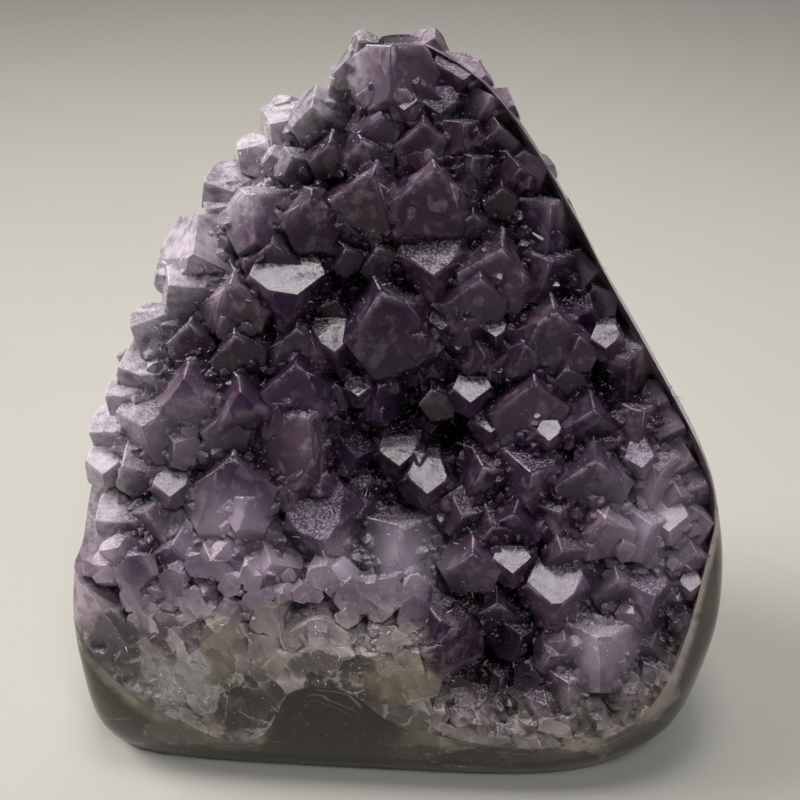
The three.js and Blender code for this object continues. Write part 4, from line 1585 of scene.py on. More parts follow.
@dataclass(frozen=True)
class AmethystFinish:
    """Clear to milky purple quartz, pale toward its root, with dusty ledges and veils, painted light on its
    lit edges and in glow zones, and painted shade in its gaps.
    """

    deep: Colour = from_screen(78, 52, 97)
    brown: Colour = from_screen(114, 85, 97)
    # the pale lilac of milky quartz, also used for the painted rim light and the painted glow zones
    lilac: Colour = from_screen(220, 204, 218)
    root: Colour = from_screen(150, 142, 136)
    # the pale colour of the dusty ledges and crests, also used for painted highlights on the lit chamfers
    # and crests
    dust_and_highlight_hue: Colour = from_screen(206, 198, 206)
    snow: Colour = from_screen(228, 218, 224)
    absorbed: Colour = (0.54, 0.38, 0.56)
    density: float = 120.0
    index: float = 1.54
    sheen_level: float = 0.15
    transmission: float = 0.96
    milk: float = 0.55
    ground_share: float = 0.92
    # the widths of its clouds, veils, grains and cells, in millimetres
    cloud_size: float = 9.0
    veil_size: float = 7.0
    wave_size: float = 3.4
    mist_size: float = 2.6
    snow_size: float = 2.2
    streak_size: float = 1.6
    fracture_size: float = 4.5
    rim_break_size: float = 3.0
    crest_break_size: float = 0.9
    grain_size: float = 0.5
    speckle_size: float = 0.36
    speckle_group_size: float = 5.0
    # painted shade: how deep a gap must lie to be darkened fully, and by how much
    gap_shade_depth: float = 5.5
    shade_dimming: Colour = (0.30, 0.22, 0.34)
    painted_gap_shade_dimming: Colour = (0.13, 0.12, 0.13)
    clear_roughness: float = 0.07
    cloudy_roughness: float = 0.16
    dusty_roughness: float = 0.4
    bump_strength: float = 0.5
    bump_height: float = 0.0004

    section_dark: Colour = from_screen(66, 58, 56)
    section_light: Colour = from_screen(210, 196, 190)
    section_line: Colour = from_screen(232, 226, 216)
    section_lilac: Colour = from_screen(168, 148, 166)
    section_cells: tuple[float, float] = (7.0, 2.3)
    section_slant: tuple[float, ...] = (0, 35, 0)
    section_squash: tuple[float, ...] = (1.0, 1.0, 0.55)
    section_share: float = 0.88
    olive: Colour = from_screen(58, 51, 42)
    section_dimming: Colour = (0.5, 0.45, 0.5)
    patch_dimming: Colour = MIDDLE
    # colours of the ground front: x, t, half width, half height, colour
    patches: tuple[tuple[float, float, float, float, Colour], ...] = (
        (-1.6, 19, 11, 5, from_screen(176, 158, 134)),
        (-48, 16, 11, 7, from_screen(194, 192, 186)),
        (-25.6, 30.4, 6.5, 5.5, from_screen(176, 162, 158)),
        (-36, 25, 3.4, 7, from_screen(166, 152, 134)),
        (-27, 21, 3.2, 2.8, from_screen(160, 150, 138)),
        (-14, 22, 9, 3, from_screen(70, 62, 54)),
        (-32, 12, 7, 5, from_screen(66, 61, 53)),
        (-14, 11, 11, 8, from_screen(48, 42, 37)),
        (-1, 9, 7, 5, from_screen(112, 112, 100)),
        (-58, 24, 6, 9, from_screen(88, 82, 84)),
        (-4, 29, 8, 2.6, from_screen(186, 174, 170)),
    )

    def section(self, nodes: Nodes, places: Link) -> bpy.types.NodeSocket:
        """The colour of the ground front: crystals cut across, with pale outlines and cloudy patches.

        Args:
            nodes: The tree that it is added to.
            places: The coordinates that it reads.

        Returns:
            The colour's socket.
        """
        bent = nodes.warped(places, 5.0, 1.4)
        slanted = nodes.turned(bent, self.section_slant, self.section_squash)
        large, small = self.section_cells
        fine = nodes.noise(places, 1.4, 4.0, 0.65)
        broken = nodes.noise(places, 4.0)
        shade = nodes.shards(slanted, large) * 0.6 + nodes.shards(slanted, small) * 0.45 + fine * 0.7 + 0.1
        outline = nodes.cells(slanted, large, "DISTANCE_TO_EDGE").smooth(0.035, 0.0)
        outline = outline * broken.smooth(0.46, 0.6)
        hue = nodes.mix(shade, self.section_dark, self.section_light)
        rise = nodes.reach(places, PLANE.upward, 38.0)
        own = nodes.mix(shade, nodes.dimmed(self.section_lilac, self.section_dimming), self.section_lilac)
        hue = nodes.mix(rise.smooth(-14.0, 4.0) * 0.85, hue, own)
        far_bent = nodes.warped(places, 5.0, 2.6)
        for x, t, width, height, colour in self.patches:
            inside = nodes.patch(far_bent, x, t, width, height)
            own = nodes.mix(shade * 0.8, nodes.dimmed(colour, self.patch_dimming), colour)
            hue = nodes.mix(inside.smooth(1.15, 0.75) * 0.85, hue, own)
            ring = inside.smooth(0.88, 0.95) * inside.smooth(1.02, 0.95)
            outline = outline.most(ring * broken.smooth(0.46, 0.58))
        hue = nodes.mix(nodes.noise(places, 11.0, 4.0).smooth(0.56, 0.66) * 0.45, hue, self.olive)
        return nodes.mix(outline * 0.34 + fine.smooth(0.66, 0.76) * 0.45, hue, self.section_line)

    def material(self) -> bpy.types.Material:
        """The finish as a material.

        Returns:
            The material.
        """
        material, nodes = new_material("amethyst")
        places = nodes.places()
        tone, facet, edge, rim = (nodes.attribute(name) for name in ("tone", "facet", "edge", "rim"))
        pale, light, white = (nodes.attribute(name) for name in ("pale", "light", "white"))
        polish, recess = (nodes.attribute(name) for name in ("polish", "recess"))
        cloud = nodes.noise(places, self.cloud_size)
        veil = nodes.noise(places, self.veil_size, 6.0, 0.62).smooth(0.5, 0.66)
        grain = nodes.noise(places, self.grain_size, 2.0, 0.7)
        wave = nodes.noise(places, self.wave_size, 2.0, 0.5)
        inputs = {"Vector": places, "Scale": 1 / (self.speckle_size * MM)}
        spot = nodes.add("ShaderNodeTexVoronoi", None, inputs)
        kept = nodes.add("ShaderNodeSeparateColor", None, {0: spot.outputs["Color"]})
        speckle = Value(nodes, spot.outputs["Distance"]).smooth(0.3, 0.12)
        speckle = speckle * Value(nodes, kept.outputs[0]).smooth(0.62, 0.7)
        speckle = speckle * nodes.noise(places, self.speckle_group_size, 2.0).smooth(0.4, 0.6) * 0.6
        along = nodes.turned(places, (20, 30, 0), (1.0, 1.0, 0.35))
        streak = nodes.noise(along, self.streak_size, 4.0, 0.6)
        hue = nodes.mix(tone * 0.5 + cloud * 0.7 - 0.1, self.deep, self.brown)
        shade = (cloud * 0.9 + facet * 0.35 + streak * 0.5 - 0.35).smooth(0.0, 1.0)
        hue = nodes.mix(1 - shade, hue, nodes.dimmed(hue, self.shade_dimming))
        broken = nodes.turned(nodes.warped(places, 4.0, 0.8), (25, 0, 40), (1.0, 1.0, 0.6))
        fracture = nodes.shards(broken, self.fracture_size)
        mist = (nodes.noise(places, self.mist_size, 5.0, 0.6) + fracture * 0.16).smooth(0.46, 0.68)
        # painted rim light: the lit side of each end face and the chamfers that face the light turn paler
        # lilac
        painted_rim_light = rim.smooth(0.15, 1.0) * nodes.noise(places, self.rim_break_size).smooth(0.36, 0.6)
        hue = nodes.mix((mist * 0.26 + painted_rim_light * 0.6) * (0.4 + 0.5 * tone), hue, self.lilac)
        # painted shade: the deeper a face lies below the druse's mean height, the darker its colour and the
        # more cloudy its quartz
        painted_gap_shade = recess.smooth(0.0, self.gap_shade_depth)
        hue = nodes.mix(painted_gap_shade, hue, nodes.dimmed(hue, self.painted_gap_shade_dimming))
        # painted light: the light zones turn pale lilac, as if lit through, partly the points' own paler
        # zoning
        hue = nodes.mix(light * light * (0.7 + 0.3 * tone), hue, self.lilac)
        # the white zone: whitish quartz along the left edge, whitened further as painted light shining
        # through it
        snow = nodes.noise(places, self.snow_size).smooth(0.32, 0.66)
        hue = nodes.mix(white * (snow * 0.5 + 0.2), hue, self.snow)
        normal = nodes.add("ShaderNodeNewGeometry").outputs["Normal"]
        up = Value(nodes, nodes.add("ShaderNodeSeparateXYZ", None, {0: normal}).outputs[2])
        ledge = up.smooth(0.74, 0.98) * (1 - polish)
        dusty = (ledge * grain.smooth(0.46, 0.62)).most(speckle * (0.35 + 0.65 * ledge))
        # dusty crests, laid only on the lit side of each rim, so partly a painted highlight
        crest_break = nodes.noise(places, self.crest_break_size, 4.0, 0.65).smooth(0.42, 0.56)
        crest_dust_and_light = rim.smooth(0.5, 0.86) * crest_break
        # painted highlights on the chamfers that face the light, joined with the dusty ledges and the dusty,
        # lit crests, all in one pale colour
        dust_and_highlight = (edge * streak.smooth(0.42, 0.62) * rim * 0.5).most(dusty * 0.5).most(crest_dust_and_light * 0.85)
        hue = nodes.mix(dust_and_highlight, hue, self.dust_and_highlight_hue)
        ground_hue = nodes.mix(self.section_share, self.root, self.section(nodes, places))
        ground_hue = nodes.mix(dust_and_highlight, ground_hue, self.dust_and_highlight_hue)
        height = wave + grain * ledge * 0.12
        inputs = {"Strength": self.bump_strength, "Distance": self.bump_height, "Height": height}
        bump = nodes.add("ShaderNodeBump", None, inputs)
        quartz = {"IOR": self.index, "Specular_IOR_Level": self.sheen_level, "Normal": bump.outputs[0]}
        roughness = self.clear_roughness + dust_and_highlight * self.dusty_roughness + facet * 0.1
        shown = {"Roughness": roughness, "Transmission_Weight": self.transmission}
        clear = nodes.shine(Base_Color=hue, **shown, **quartz)
        roughness = self.cloudy_roughness + dust_and_highlight * self.dusty_roughness
        cloudy = nodes.shine(Base_Color=hue, Roughness=roughness, **quartz)
        ground = nodes.shine(Base_Color=ground_hue, Roughness=roughness, **quartz)
        # the painted rim light, glow zones and gap shade also raise the cloudy share, so that the painted
        # colour shows
        share = (self.milk + veil * 0.1 + tone * 0.05 + mist * 0.1 + painted_rim_light * 0.3).most(painted_gap_shade * 0.9)
        share = (share + (mist * 0.3 + 0.7) * light * 0.8).most(white * (snow * 0.4 + 0.4))
        share = share.most(dust_and_highlight)
        surface = nodes.between(pale * self.ground_share, nodes.between(share, clear, cloudy), ground)
        inputs = {"Color": self.absorbed, "Density": self.density}
        volume = nodes.add("ShaderNodeVolumeAbsorption", None, inputs)
        nodes.finish(surface, volume.outputs[0])
        return material


@dataclass(frozen=True)
class AgateFinish:
    """Polished agate and chalcedony, mottled olive to grey green, with faint bands along the crust and
    painted shadow along the base's front edge.
    """

    dark: Colour = from_screen(44, 38, 31)
    mid: Colour = from_screen(84, 77, 66)
    green: Colour = from_screen(92, 93, 82)
    light: Colour = from_screen(156, 150, 134)
    mauve: Colour = from_screen(184, 168, 166)
    band_rate: float = 1.1
    wide_band_rate: float = 0.31
    seam_rate: float = 2.1
    # the widths of its clouds, bends and shards, in millimetres
    cloud_size: float = 16.0
    band_bend_size: float = 22.0
    fine_size: float = 1.3
    shard_sizes: tuple[float, float] = (6.0, 2.3)
    slant: tuple[float, ...] = (0, 35, 0)
    squash: tuple[float, ...] = (1.0, 1.0, 0.55)
    # where the pale mauve chalcedony of the right flank starts
    flank_start: float = 46.0
    index: float = 1.54
    sheen_level: float = 0.3
    coat: float = 0.1
    # the dark nodule in the front: x, t, half width, half height
    nodule: tuple[float, ...] = (-13, 9, 13, 10)
    # colours of the rest of the front: x, t, half width, half height, colour
    patches: tuple[tuple[float, float, float, float, Colour], ...] = (
        (35, 6.5, 6, 3.2, from_screen(164, 150, 138)),
        (20, 5, 9, 5, from_screen(62, 48, 60)),
        (49, 15, 8, 4, from_screen(150, 138, 124)),
        # painted shadow along the base: this row and the next darken the lowest millimetres, over the rind's
        # own dark agate
        (52, 5, 10, 4, from_screen(48, 42, 38)),
        (-54, 4.4, 14, 4, from_screen(66, 60, 54)),
        (2, 5, 7, 4, from_screen(104, 98, 84)),
        (-44, 6, 9, 3, from_screen(96, 92, 82)),
        # painted shadow along the base: these two rows darken the strip under the front edge, over the
        # rind's own dark agate
        (-16, 1, 40, 3.4, from_screen(46, 41, 36)),
        (24, 1, 18, 3, from_screen(42, 36, 36)),
    )

    def material(self) -> bpy.types.Material:
        """The finish as a material.

        Returns:
            The material.
        """
        material, nodes = new_material("agate")
        places = nodes.places()
        bed = nodes.attribute("bed")
        bent = nodes.warped(places, 14.0, 5.0)
        cloud = nodes.noise(bent, self.cloud_size, 4.0, 0.6)
        depth = bed + nodes.noise(places, self.band_bend_size) * 9.0
        bands = (depth * self.band_rate).sine() * 0.5 + 0.5
        wide = (depth * self.wide_band_rate).sine() * 0.5 + 0.5
        slanted = nodes.turned(nodes.warped(places, 5.0, 1.6), self.slant, self.squash)
        large, small = (nodes.shards(slanted, size) for size in self.shard_sizes)
        fine = nodes.noise(places, self.fine_size, 4.0, 0.7)
        shade = large * 0.4 + small * 0.3 + fine * 0.5
        hue = nodes.mix(cloud.smooth(0.36, 0.68), self.dark, self.mid)
        hue = nodes.mix(bands * 0.14 + wide * 0.14, hue, self.green)
        nodule = nodes.patch(nodes.warped(places, 7.0, 3.0), *self.nodule).smooth(1.25, 0.8)
        near = (bed + nodes.noise(places, 6.0) * 8.0).smooth(-7.0, 1.0)
        hue = nodes.mix(near * (0.3 + shade) * (1 - nodule), hue, self.light)
        flank = nodes.reach(places, ACROSS, self.flank_start) + nodes.noise(places, 9.0) * 8.0
        right = flank.smooth(2.0, 12.0) * (bed + nodes.noise(places, 7.0) * 6.0).smooth(-16.0, -2.0)
        hue = nodes.mix(right * (0.6 + shade * 0.5), hue, self.mauve)
        far_bent = nodes.warped(places, 5.0, 2.4)
        for x, t, width, height, colour in self.patches:
            inside = nodes.patch(far_bent, x, t, width, height)
            ring = inside.smooth(0.88, 0.96) * inside.smooth(1.04, 0.96) * fine.smooth(0.46, 0.56)
            hue = nodes.mix(inside.smooth(1.1, 0.8) * (0.55 + shade * 0.6), hue, colour)
            hue = nodes.mix(ring * 0.35, hue, self.light)
        spots = nodes.cells(bent, 5.0).smooth(0.34, 0.12) * nodes.noise(places, 9.0).smooth(0.5, 0.62)
        hue = nodes.mix((spots * 0.55).most(nodule * 0.85), hue, self.dark)
        hue = nodes.mix(fine.smooth(0.6, 0.72) * 0.25, hue, self.light)
        lines = (bed * self.seam_rate + nodes.noise(places, 12.0) * 7.0).sine()
        seam = bed.smooth(-10.0, -3.0) * (nodes.noise(places, 8.0).smooth(0.46, 0.62) * 0.8 + right * 0.6)
        hue = nodes.mix(lines.smooth(0.78, 1.0) * seam * 0.5, hue, self.light)
        surface = nodes.shine(
            Base_Color=hue,
            Roughness=0.14 + nodes.noise(places, 1.2) * 0.12,
            IOR=self.index,
            Specular_IOR_Level=self.sheen_level,
            Coat_Weight=self.coat,
        )
        nodes.finish(surface)
        return material


@dataclass
class Crust:
    """The amethyst crust: the points, the small crystals between them and the ground quartz below."""

    finish: AmethystFinish = field(default_factory=AmethystFinish)
    druse: Druse = field(default_factory=Druse)
    inset: float = 0.03
    sunk_in_rind: float = 0.6
    rim_width: float = 3.2
    rim_slope: float = 3.6
    pale_rim: tuple[float, float] = (5.5, 1.5)
    pale_rim_share: float = 0.9
    # the left edge's whitish quartz, whitened further as painted light shining through it
    white_glow_edge: tuple[float, float] = (9.0, 2.0)
    white_glow_start: tuple[float, float] = (28.0, 50.0)
    white_glow_share: float = 0.9
    # where the quartz is painted paler, as light shining through the points and partly their own paler
    # zoning: x, t, half width, half height, and how much
    painted_glow_zones: tuple[tuple[float, ...], ...] = (
        (-67, 70, 17, 36, 0.72),
        (-62, 44, 8, 8, 0.8),
        (-42, 103, 12, 11, 0.75),
        (-32, 128, 14, 14, 0.66),
        (-6, 138, 20, 12, 0.4),
        (-46, 68, 14, 14, 0.6),
        (-36, 50, 15, 11, 0.8),
        (-20, 67, 9, 8, 0.34),
        (-24, 40, 34, 9, 0.72),
        (0, 43, 12, 11, 0.85),
        (-12, 43, 6, 7, 0.9),
        (52, 50, 15, 18, 0.74),
        (38, 42, 9, 9, 0.4),
        (41, 26, 12, 11, 0.74),
        (-28, 116, 12, 10, 0.42),
        (6, 120, 14, 12, 0.22),
    )
    # where sugar-fine quartz glitters: x, t, reach, and how much
    sugar_zones: tuple[tuple[float, ...], ...] = (
        (-24, 130, 5, 0.9),
        (-5.4, 120.6, 3, 0.8),
        (39.6, 29, 4, 0.8),
        (2.4, 43.6, 5, 0.6),
        (-11, 42, 4, 0.9),
        (-37, 97, 4, 0.8),
        (52, 75, 3.5, 0.8),
        (-6, 26, 9, 0.5),
        (-50, 18, 9, 0.4),
        (54, 46, 6, 0.3),
    )

    def build(self) -> bpy.types.Object:
        """Makes the crust.

        Returns:
            Its object.
        """
        space = Field()
        stone = stone_mesh(self.inset, False)
        sight = Sight(stone)
        hollows = space.in_front_of(lambda x, t: sight.heights(x, t, space.far) - FORM.hollow_depth(x, t))
        edge = RightEdge.of(sight)

        def ground(x: Array, t: Array) -> Array:
            """The ground between the points, which rises to the stone's right side."""
            within = np.maximum(self.rim_width - edge.inward(x, t), 0)
            return FORM.root_height(x, t) + self.rim_slope * within

        points = self.druse.main_points()
        points += self.druse.section_points(stone) + self.druse.ledge_points(stone)
        solid = Solid(stone).cut([space.in_front_of(ground), hollows])
        solid.join(p.mesh() for p in points)
        small = self.druse.crevice_points(solid.mesh)
        solid.join(p.mesh() for p in small)
        solid.keep_within(stone_mesh(self.inset, True))
        solid.keep_within(space.in_front_of(lambda x, t: FORM.rind_height(x, t) - self.sunk_in_rind))
        solid.largest()
        faces = len(solid.mesh.polygons)
        LOG.info("crust: %d points and %d small ones, %d faces", len(points), len(small), faces)
        return self.dress(solid.mesh, edge)

    def dress(self, mesh: bpy.types.Mesh, edge: RightEdge) -> bpy.types.Object:
        """Marks the crust's zones, moves it to the frame and gives it its finish.

        Args:
            mesh: The crust in millimetres.
            edge: The stone's right edge.

        Returns:
            The finished object.
        """
        places = read_places(mesh)
        x, t, n = PLANE.seen(places)
        bed = n - FORM.rind_height(x, t)
        foot = FORM.polish_edge.at(x) - t
        pale = np.maximum(smooth_step(bed, 8, 3) * (foot > -4), smooth_step(foot, -9, 5))
        rimmed = smooth_step(edge.inward(x, t), *self.pale_rim) * self.pale_rim_share
        mark(mesh, "pale", np.maximum(pale, rimmed))
        light = np.zeros_like(x)
        for zx, zt, w, h, share in self.painted_glow_zones:
            light = np.maximum(light, share * bell(x, t, zx, zt, w, h))
        mark(mesh, "light", light)
        # the white zone along the left edge: whitish quartz with painted light shining through it
        outer = smooth_step(from_left(x, t), *self.white_glow_edge) * (x < 0)
        mark(mesh, "white", outer * smooth_step(t, *self.white_glow_start) * self.white_glow_share)
        # how deep each place lies below the druse's mean height, which the finish paints as shade
        mark(mesh, "recess", (FORM.druse_height(x, t) - n) * (foot < 0))
        mark(mesh, "sugar", self.sugar(mesh), on_faces=True)
        material = self.finish.material()
        return finished_object("amethyst_points", mesh, material, "amethyst_crust")

    def sugar(self, mesh: bpy.types.Mesh) -> Array:
        """How thickly each face is strewn with sugar-fine quartz, most in the crevices and on level ledges.

        Args:
            mesh: The crust in millimetres.

        Returns:
            A share of 0 to 1 for each face.
        """
        middles = np.zeros(len(mesh.polygons) * 3, np.float32)
        mesh.polygons.foreach_get("center", middles)
        normals = np.zeros_like(middles)
        mesh.polygons.foreach_get("normal", normals)
        x, t, n = PLANE.seen(middles.reshape(-1, 3).astype(float))
        up = normals.reshape(-1, 3)[:, 2]
        recess = FORM.druse_height(x, t) - n
        left = from_left(x, t)
        share = 0.06 * smooth_step(up, 0.6, 0.95) + 0.1 * smooth_step(recess, 1.5, 5)
        share = np.maximum(share, 0.35 * smooth_step(left, 9, 3) * (x < 0) * (t > 40))
        for zx, zt, reach, most in self.sugar_zones:
            away = np.hypot(x - zx, t - zt) / reach
            share = np.maximum(share, most * np.exp(-away * away))
        front = normals.reshape(-1, 3) @ PLANE.toward_eye > -0.1
        return share * front * (n > FORM.rind_height(x, t) + 1)


@dataclass(frozen=True)
class GrainFinish:
    """Sugar-fine quartz: white to pale lilac, with bright faces."""

    white: Colour = from_screen(236, 232, 236)
    lilac: Colour = from_screen(196, 176, 204)
    roughness: float = 0.12
    index: float = 1.54

    def material(self) -> bpy.types.Material:
        """The finish as a material.

        Returns:
            The material.
        """
        material, nodes = new_material("sugar_quartz")
        cloud = nodes.noise(nodes.places(), 4.0).smooth(0.4, 0.6)
        hue = nodes.mix(cloud, self.lilac, self.white)
        surface = nodes.shine(Base_Color=hue, Roughness=self.roughness, IOR=self.index)
        nodes.finish(surface)
        return material


@dataclass(frozen=True)
class SugarQuartz:
    """Grains of quartz scattered over the crust by a Geometry Nodes tree."""

    finish: GrainFinish = field(default_factory=GrainFinish)
    per_square_mm: float = 14.0
    smallest: float = 0.03
    largest: float = 0.15
    needle: float = 9.0
    sides: int = 3
    cluster_size: float = 5.0
    seed: int = 7

    def tree(self) -> bpy.types.NodeTree:
        """The scattering tree: grains as small pointed cones, realized and given their material.

        Returns:
            The tree.
        """
        tree = bpy.data.node_groups.new("scatter_grains", "GeometryNodeTree")
        nodes = Nodes(tree)
        kinds = {"Geometry": "Geometry", "Density": "Float", "Seed": "Int", "Material": "Material"}
        for name, kind in kinds.items():
            tree.interface.new_socket(name, in_out="INPUT", socket_type=f"NodeSocket{kind}")
        tree.interface.new_socket("Geometry", in_out="OUTPUT", socket_type="NodeSocketGeometry")
        given = nodes.add("NodeGroupInput").outputs
        sugar = nodes.add("GeometryNodeInputNamedAttribute", {"data_type": "FLOAT"}, {"Name": "sugar"})
        place = nodes.add("GeometryNodeInputPosition").outputs[0]
        cluster = nodes.noise(place, self.cluster_size, 2.0).smooth(0.42, 0.66)
        density = Value(nodes, sugar.outputs[0]) * Value(nodes, given["Density"]) * (cluster + 0.15)
        scattered = nodes.add(
            "GeometryNodeDistributePointsOnFaces",
            {"distribute_method": "RANDOM"},
            {"Mesh": given["Geometry"], "Density": density, "Seed": given["Seed"]},
        )
        grain = nodes.add(
            "GeometryNodeMeshCone",
            {"fill_type": "NGON"},
            {"Vertices": self.sides, "Radius Top": 0.0, "Radius Bottom": 1.0, "Depth": 1.7},
        )
        spin = nodes.add(
            "FunctionNodeRandomValue",
            {"data_type": "FLOAT_VECTOR"},
            {"Min": (0.0, 0.0, 0.0), "Max": (6.283, 6.283, 6.283), "Seed": 3},
        )
        luck = nodes.value("FunctionNodeRandomValue", {"data_type": "FLOAT"}, {"Seed": 5}, 1)
        radius = (luck * luck * luck * (self.largest - self.smallest) + self.smallest) * MM
        slender = nodes.value("FunctionNodeRandomValue", {"data_type": "FLOAT"}, {"Seed": 9}, 1)
        length = ((slender**8) * self.needle + 1.0) * radius
        scale = nodes.add("ShaderNodeCombineXYZ", None, {0: radius, 1: radius, 2: length})
        placed = nodes.add(
            "GeometryNodeInstanceOnPoints",
            None,
            {
                "Points": scattered.outputs["Points"],
                "Instance": grain.outputs["Mesh"],
                "Rotation": spin.outputs[0],
                "Scale": scale.outputs[0],
            },
        )
        real = nodes.add("GeometryNodeRealizeInstances", None, {"Geometry": placed.outputs[0]})
        painted = nodes.add(
            "GeometryNodeSetMaterial",
            None,
            {"Geometry": real.outputs[0], "Material": given["Material"]},
        )
        nodes.add("NodeGroupOutput", None, {0: painted.outputs[0]})
        return tree

    def build(self, crust: bpy.types.Object) -> bpy.types.Object:
        """Scatters the grains.

        Args:
            crust: The finished crust, whose faces say how thickly they are strewn.

        Returns:
            The grains' object.
        """
        bearer = in_scene("bearer", crust.data.copy())
        scatter = bearer.modifiers.new("scatter", "NODES")
        tree = self.tree()
        material = self.finish.material()
        values = {"Density": self.per_square_mm / MM**2, "Seed": self.seed, "Material": material}
        names = {item.name: item.identifier for item in tree.interface.items_tree if item.in_out == "INPUT"}
        scatter.node_group = tree
        for name, value in values.items():
            scatter[names[name]] = value
        done = bearer.evaluated_get(bpy.context.evaluated_depsgraph_get())
        mesh = bpy.data.meshes.new_from_object(done)
        bearer.modifiers.clear()
        bpy.data.objects.remove(bearer)
        mesh.name = "quartz_grains"
        grains = in_scene("quartz_grains", mesh)
        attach(grains, "root")
        LOG.info("grains: %d faces", len(mesh.polygons))
        return grains


@dataclass
class Rind:
    """The agate rind behind and under the crust."""

    finish: AgateFinish = field(default_factory=AgateFinish)

    def build(self) -> bpy.types.Object:
        """Makes the rind.

        Returns:
            Its object.
        """
        solid = Solid(stone_mesh(0.0, False)).cut([Field().in_front_of(FORM.rind_height)]).largest()
        mesh = solid.mesh
        x, t, n = PLANE.seen(read_places(mesh))
        mark(mesh, "bed", n - FORM.rind_height(x, t))
        LOG.info("rind: %d faces", len(mesh.polygons))
        return finished_object("agate_shell", mesh, self.finish.material(), "agate_rind")


def from_left(x: Array, t: Array) -> Array:
    """How far places lie from the druse's left edge."""
    return FORM.half_width(x, t) + np.minimum(x, 0)


def smooth_step(value: Array, low: float, high: float) -> Array:
    """A smooth step from 0 at low to 1 at high, where low may be the larger."""
    s = np.clip((value - low) / (high - low), 0, 1)
    return s * s * (3 - 2 * s)


def soften_polish(mesh: bpy.types.Mesh) -> None:
    """Shades the polished faces smoothly and every crystal face flat.

    Args:
        mesh: The mesh, whose faces are marked as polished or not.
    """
    polished = read_faces(mesh, "polish") > 0.5
    corner_count = len(mesh.loops)
    edge_of_corner = np.zeros(corner_count, np.int32)
    mesh.loops.foreach_get("edge_index", edge_of_corner)
    totals = np.zeros(len(mesh.polygons), np.int32)
    mesh.polygons.foreach_get("loop_total", totals)
    rough_corner = np.repeat(~polished, totals)
    sharp = np.zeros(len(mesh.edges), bool)
    sharp[edge_of_corner[rough_corner]] = True
    mesh.shade_smooth()
    mesh.set_sharp_from_angle(angle=math.radians(30))
    layer = mesh.attributes.get("sharp_edge") or mesh.attributes.new("sharp_edge", "BOOLEAN", "EDGE")
    known = np.zeros(len(mesh.edges), bool)
    layer.data.foreach_get("value", known)
    layer.data.foreach_set("value", known | sharp)


def finished_object(
    name: str, mesh: bpy.types.Mesh, material: bpy.types.Material, node: str
) -> bpy.types.Object:
    """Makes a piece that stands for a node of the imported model.

    Args:
        name: The piece's name.
        mesh: Its mesh, in millimetres in the stone's own axes.
        material: Its material.
        node: The node that it stands for.

    Returns:
        The piece.
    """
    soften_polish(mesh)
    mesh.vertices.foreach_set("co", PLANE.in_frame(read_places(mesh)).astype(np.float32).ravel())
    mesh.update()
    mesh.materials.clear()
    mesh.materials.append(material)
    mesh.name = name
    piece = in_scene(name, mesh)
    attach(piece, "root")
    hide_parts(node)
    return piece


@dataclass(frozen=True)
class SoftLight:
    """One rectangular studio light, aimed at the stone."""

    name: str
    azimuth: float
    elevation: float
    distance: float
    width: float
    height: float
    power: float
    colour: Colour = (1.0, 1.0, 1.0)
    spread: float = 180.0

    def add(self, target: Vector) -> bpy.types.Object:
        """Adds the light.

        Args:
            target: The point that it is aimed at.

        Returns:
            The light's object.
        """
        lamp = bpy.data.lights.new(self.name, "AREA")
        lamp.shape = "RECTANGLE"
        lamp.size = self.width
        lamp.size_y = self.height
        lamp.energy = self.power
        lamp.spread = math.radians(self.spread)
        lamp.color = self.colour
        around, above = math.radians(self.azimuth), math.radians(self.elevation)
        level = math.cos(above)
        way = Vector((math.sin(around) * level, -math.cos(around) * level, math.sin(above)))
        light = in_scene(self.name, lamp)
        light.location = target + way * self.distance
        light.rotation_mode = "QUATERNION"
        light.rotation_quaternion = way.to_track_quat("Z", "Y")
        return light


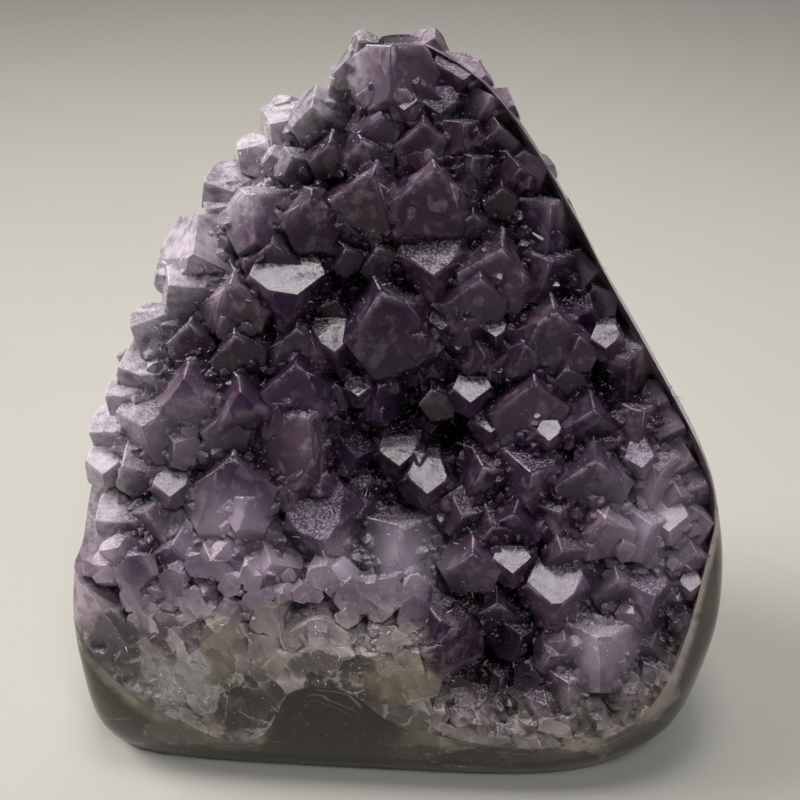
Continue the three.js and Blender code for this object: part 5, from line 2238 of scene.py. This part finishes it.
@dataclass(frozen=True)
class Studio:
    """The pale floor, the soft lights and the camera."""

    view_half_width: float = 80.0
    sensor: float = 36.0
    floor_half: float = 3.0
    floor_gap: float = 1e-4
    floor_colour: Colour = from_screen(186, 182, 174)
    sky: Colour = (0.80, 0.84, 0.90)
    sky_strength: float = 0.1
    lights: tuple[SoftLight, ...] = (
        SoftLight("window", 180, 84, 0.9, 0.27, 0.25, 0.6, (1.0, 0.99, 0.97), 80),
        SoftLight("side", -108, 36, 1.0, 0.6, 0.6, 1.5, (1.0, 0.98, 0.95), 50),
        SoftLight("front", 25, 60, 1.2, 0.7, 0.7, 0.5, (0.95, 0.97, 1.0), 30),
        SoftLight("backdrop", 180, 40, 1.5, 1.2, 0.6, 3.9, (1.0, 0.99, 0.97)),
    )

    def build(self) -> None:
        """Makes the floor, the lights, the sky and the camera."""
        self.add_floor()
        target = Vector(PLANE.in_frame(PLANE.upward * PLANE.eye_height))
        for light in self.lights:
            light.add(target)
        world = bpy.data.worlds.new("sky")
        world.use_nodes = True
        nodes = Nodes(world.node_tree)
        sky = nodes.add("ShaderNodeBackground", None, {"Color": self.sky, "Strength": self.sky_strength})
        nodes.add("ShaderNodeOutputWorld", None, {"Surface": sky.outputs[0]})
        bpy.context.scene.world = world
        self.add_camera(target)

    def add_floor(self) -> None:
        """Makes the pale floor just under the sawn base."""
        half = self.floor_half
        corners = [(-half, -half), (half, -half), (half, half), (-half, half)]
        places = np.array([(x, y, -self.floor_gap) for x, y in corners])
        mesh = make_mesh("floor", places, [(0, 1, 2, 3)])
        material, nodes = new_material("floor_paint")
        cloud = nodes.noise(nodes.places(), 60.0, 4.0)
        hue = nodes.mix(cloud * 0.25, self.floor_colour, tuple(0.8 * level for level in self.floor_colour))
        nodes.finish(nodes.shine(Base_Color=hue, Roughness=0.7))
        mesh.materials.append(material)
        in_scene("floor", mesh)

    def add_camera(self, target: Vector) -> None:
        """Puts the camera at the photograph's viewing angle.

        Args:
            target: The point that it looks at.
        """
        data = bpy.data.cameras.new("camera")
        data.sensor_width = self.sensor
        data.lens = self.sensor / 2 / (self.view_half_width / PLANE.eye_distance)
        data.clip_start = 0.01
        data.clip_end = 20.0
        camera = in_scene("camera", data)
        toward = Vector(PLANE.toward_eye)
        camera.location = target + toward * (PLANE.eye_distance * MM)
        camera.rotation_mode = "QUATERNION"
        camera.rotation_quaternion = toward.to_track_quat("Z", "Y")
        bpy.context.scene.camera = camera


def main() -> None:
    """Builds the pieces in order."""
    logging.basicConfig(level=logging.INFO, format="%(name)s: %(message)s")
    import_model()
    crust = Crust().build()
    SugarQuartz().build(crust)
    Rind().build()
    Studio().build()
    bpy.context.scene.view_settings.view_transform = "Standard"


if __name__ == "__main__":
    main()
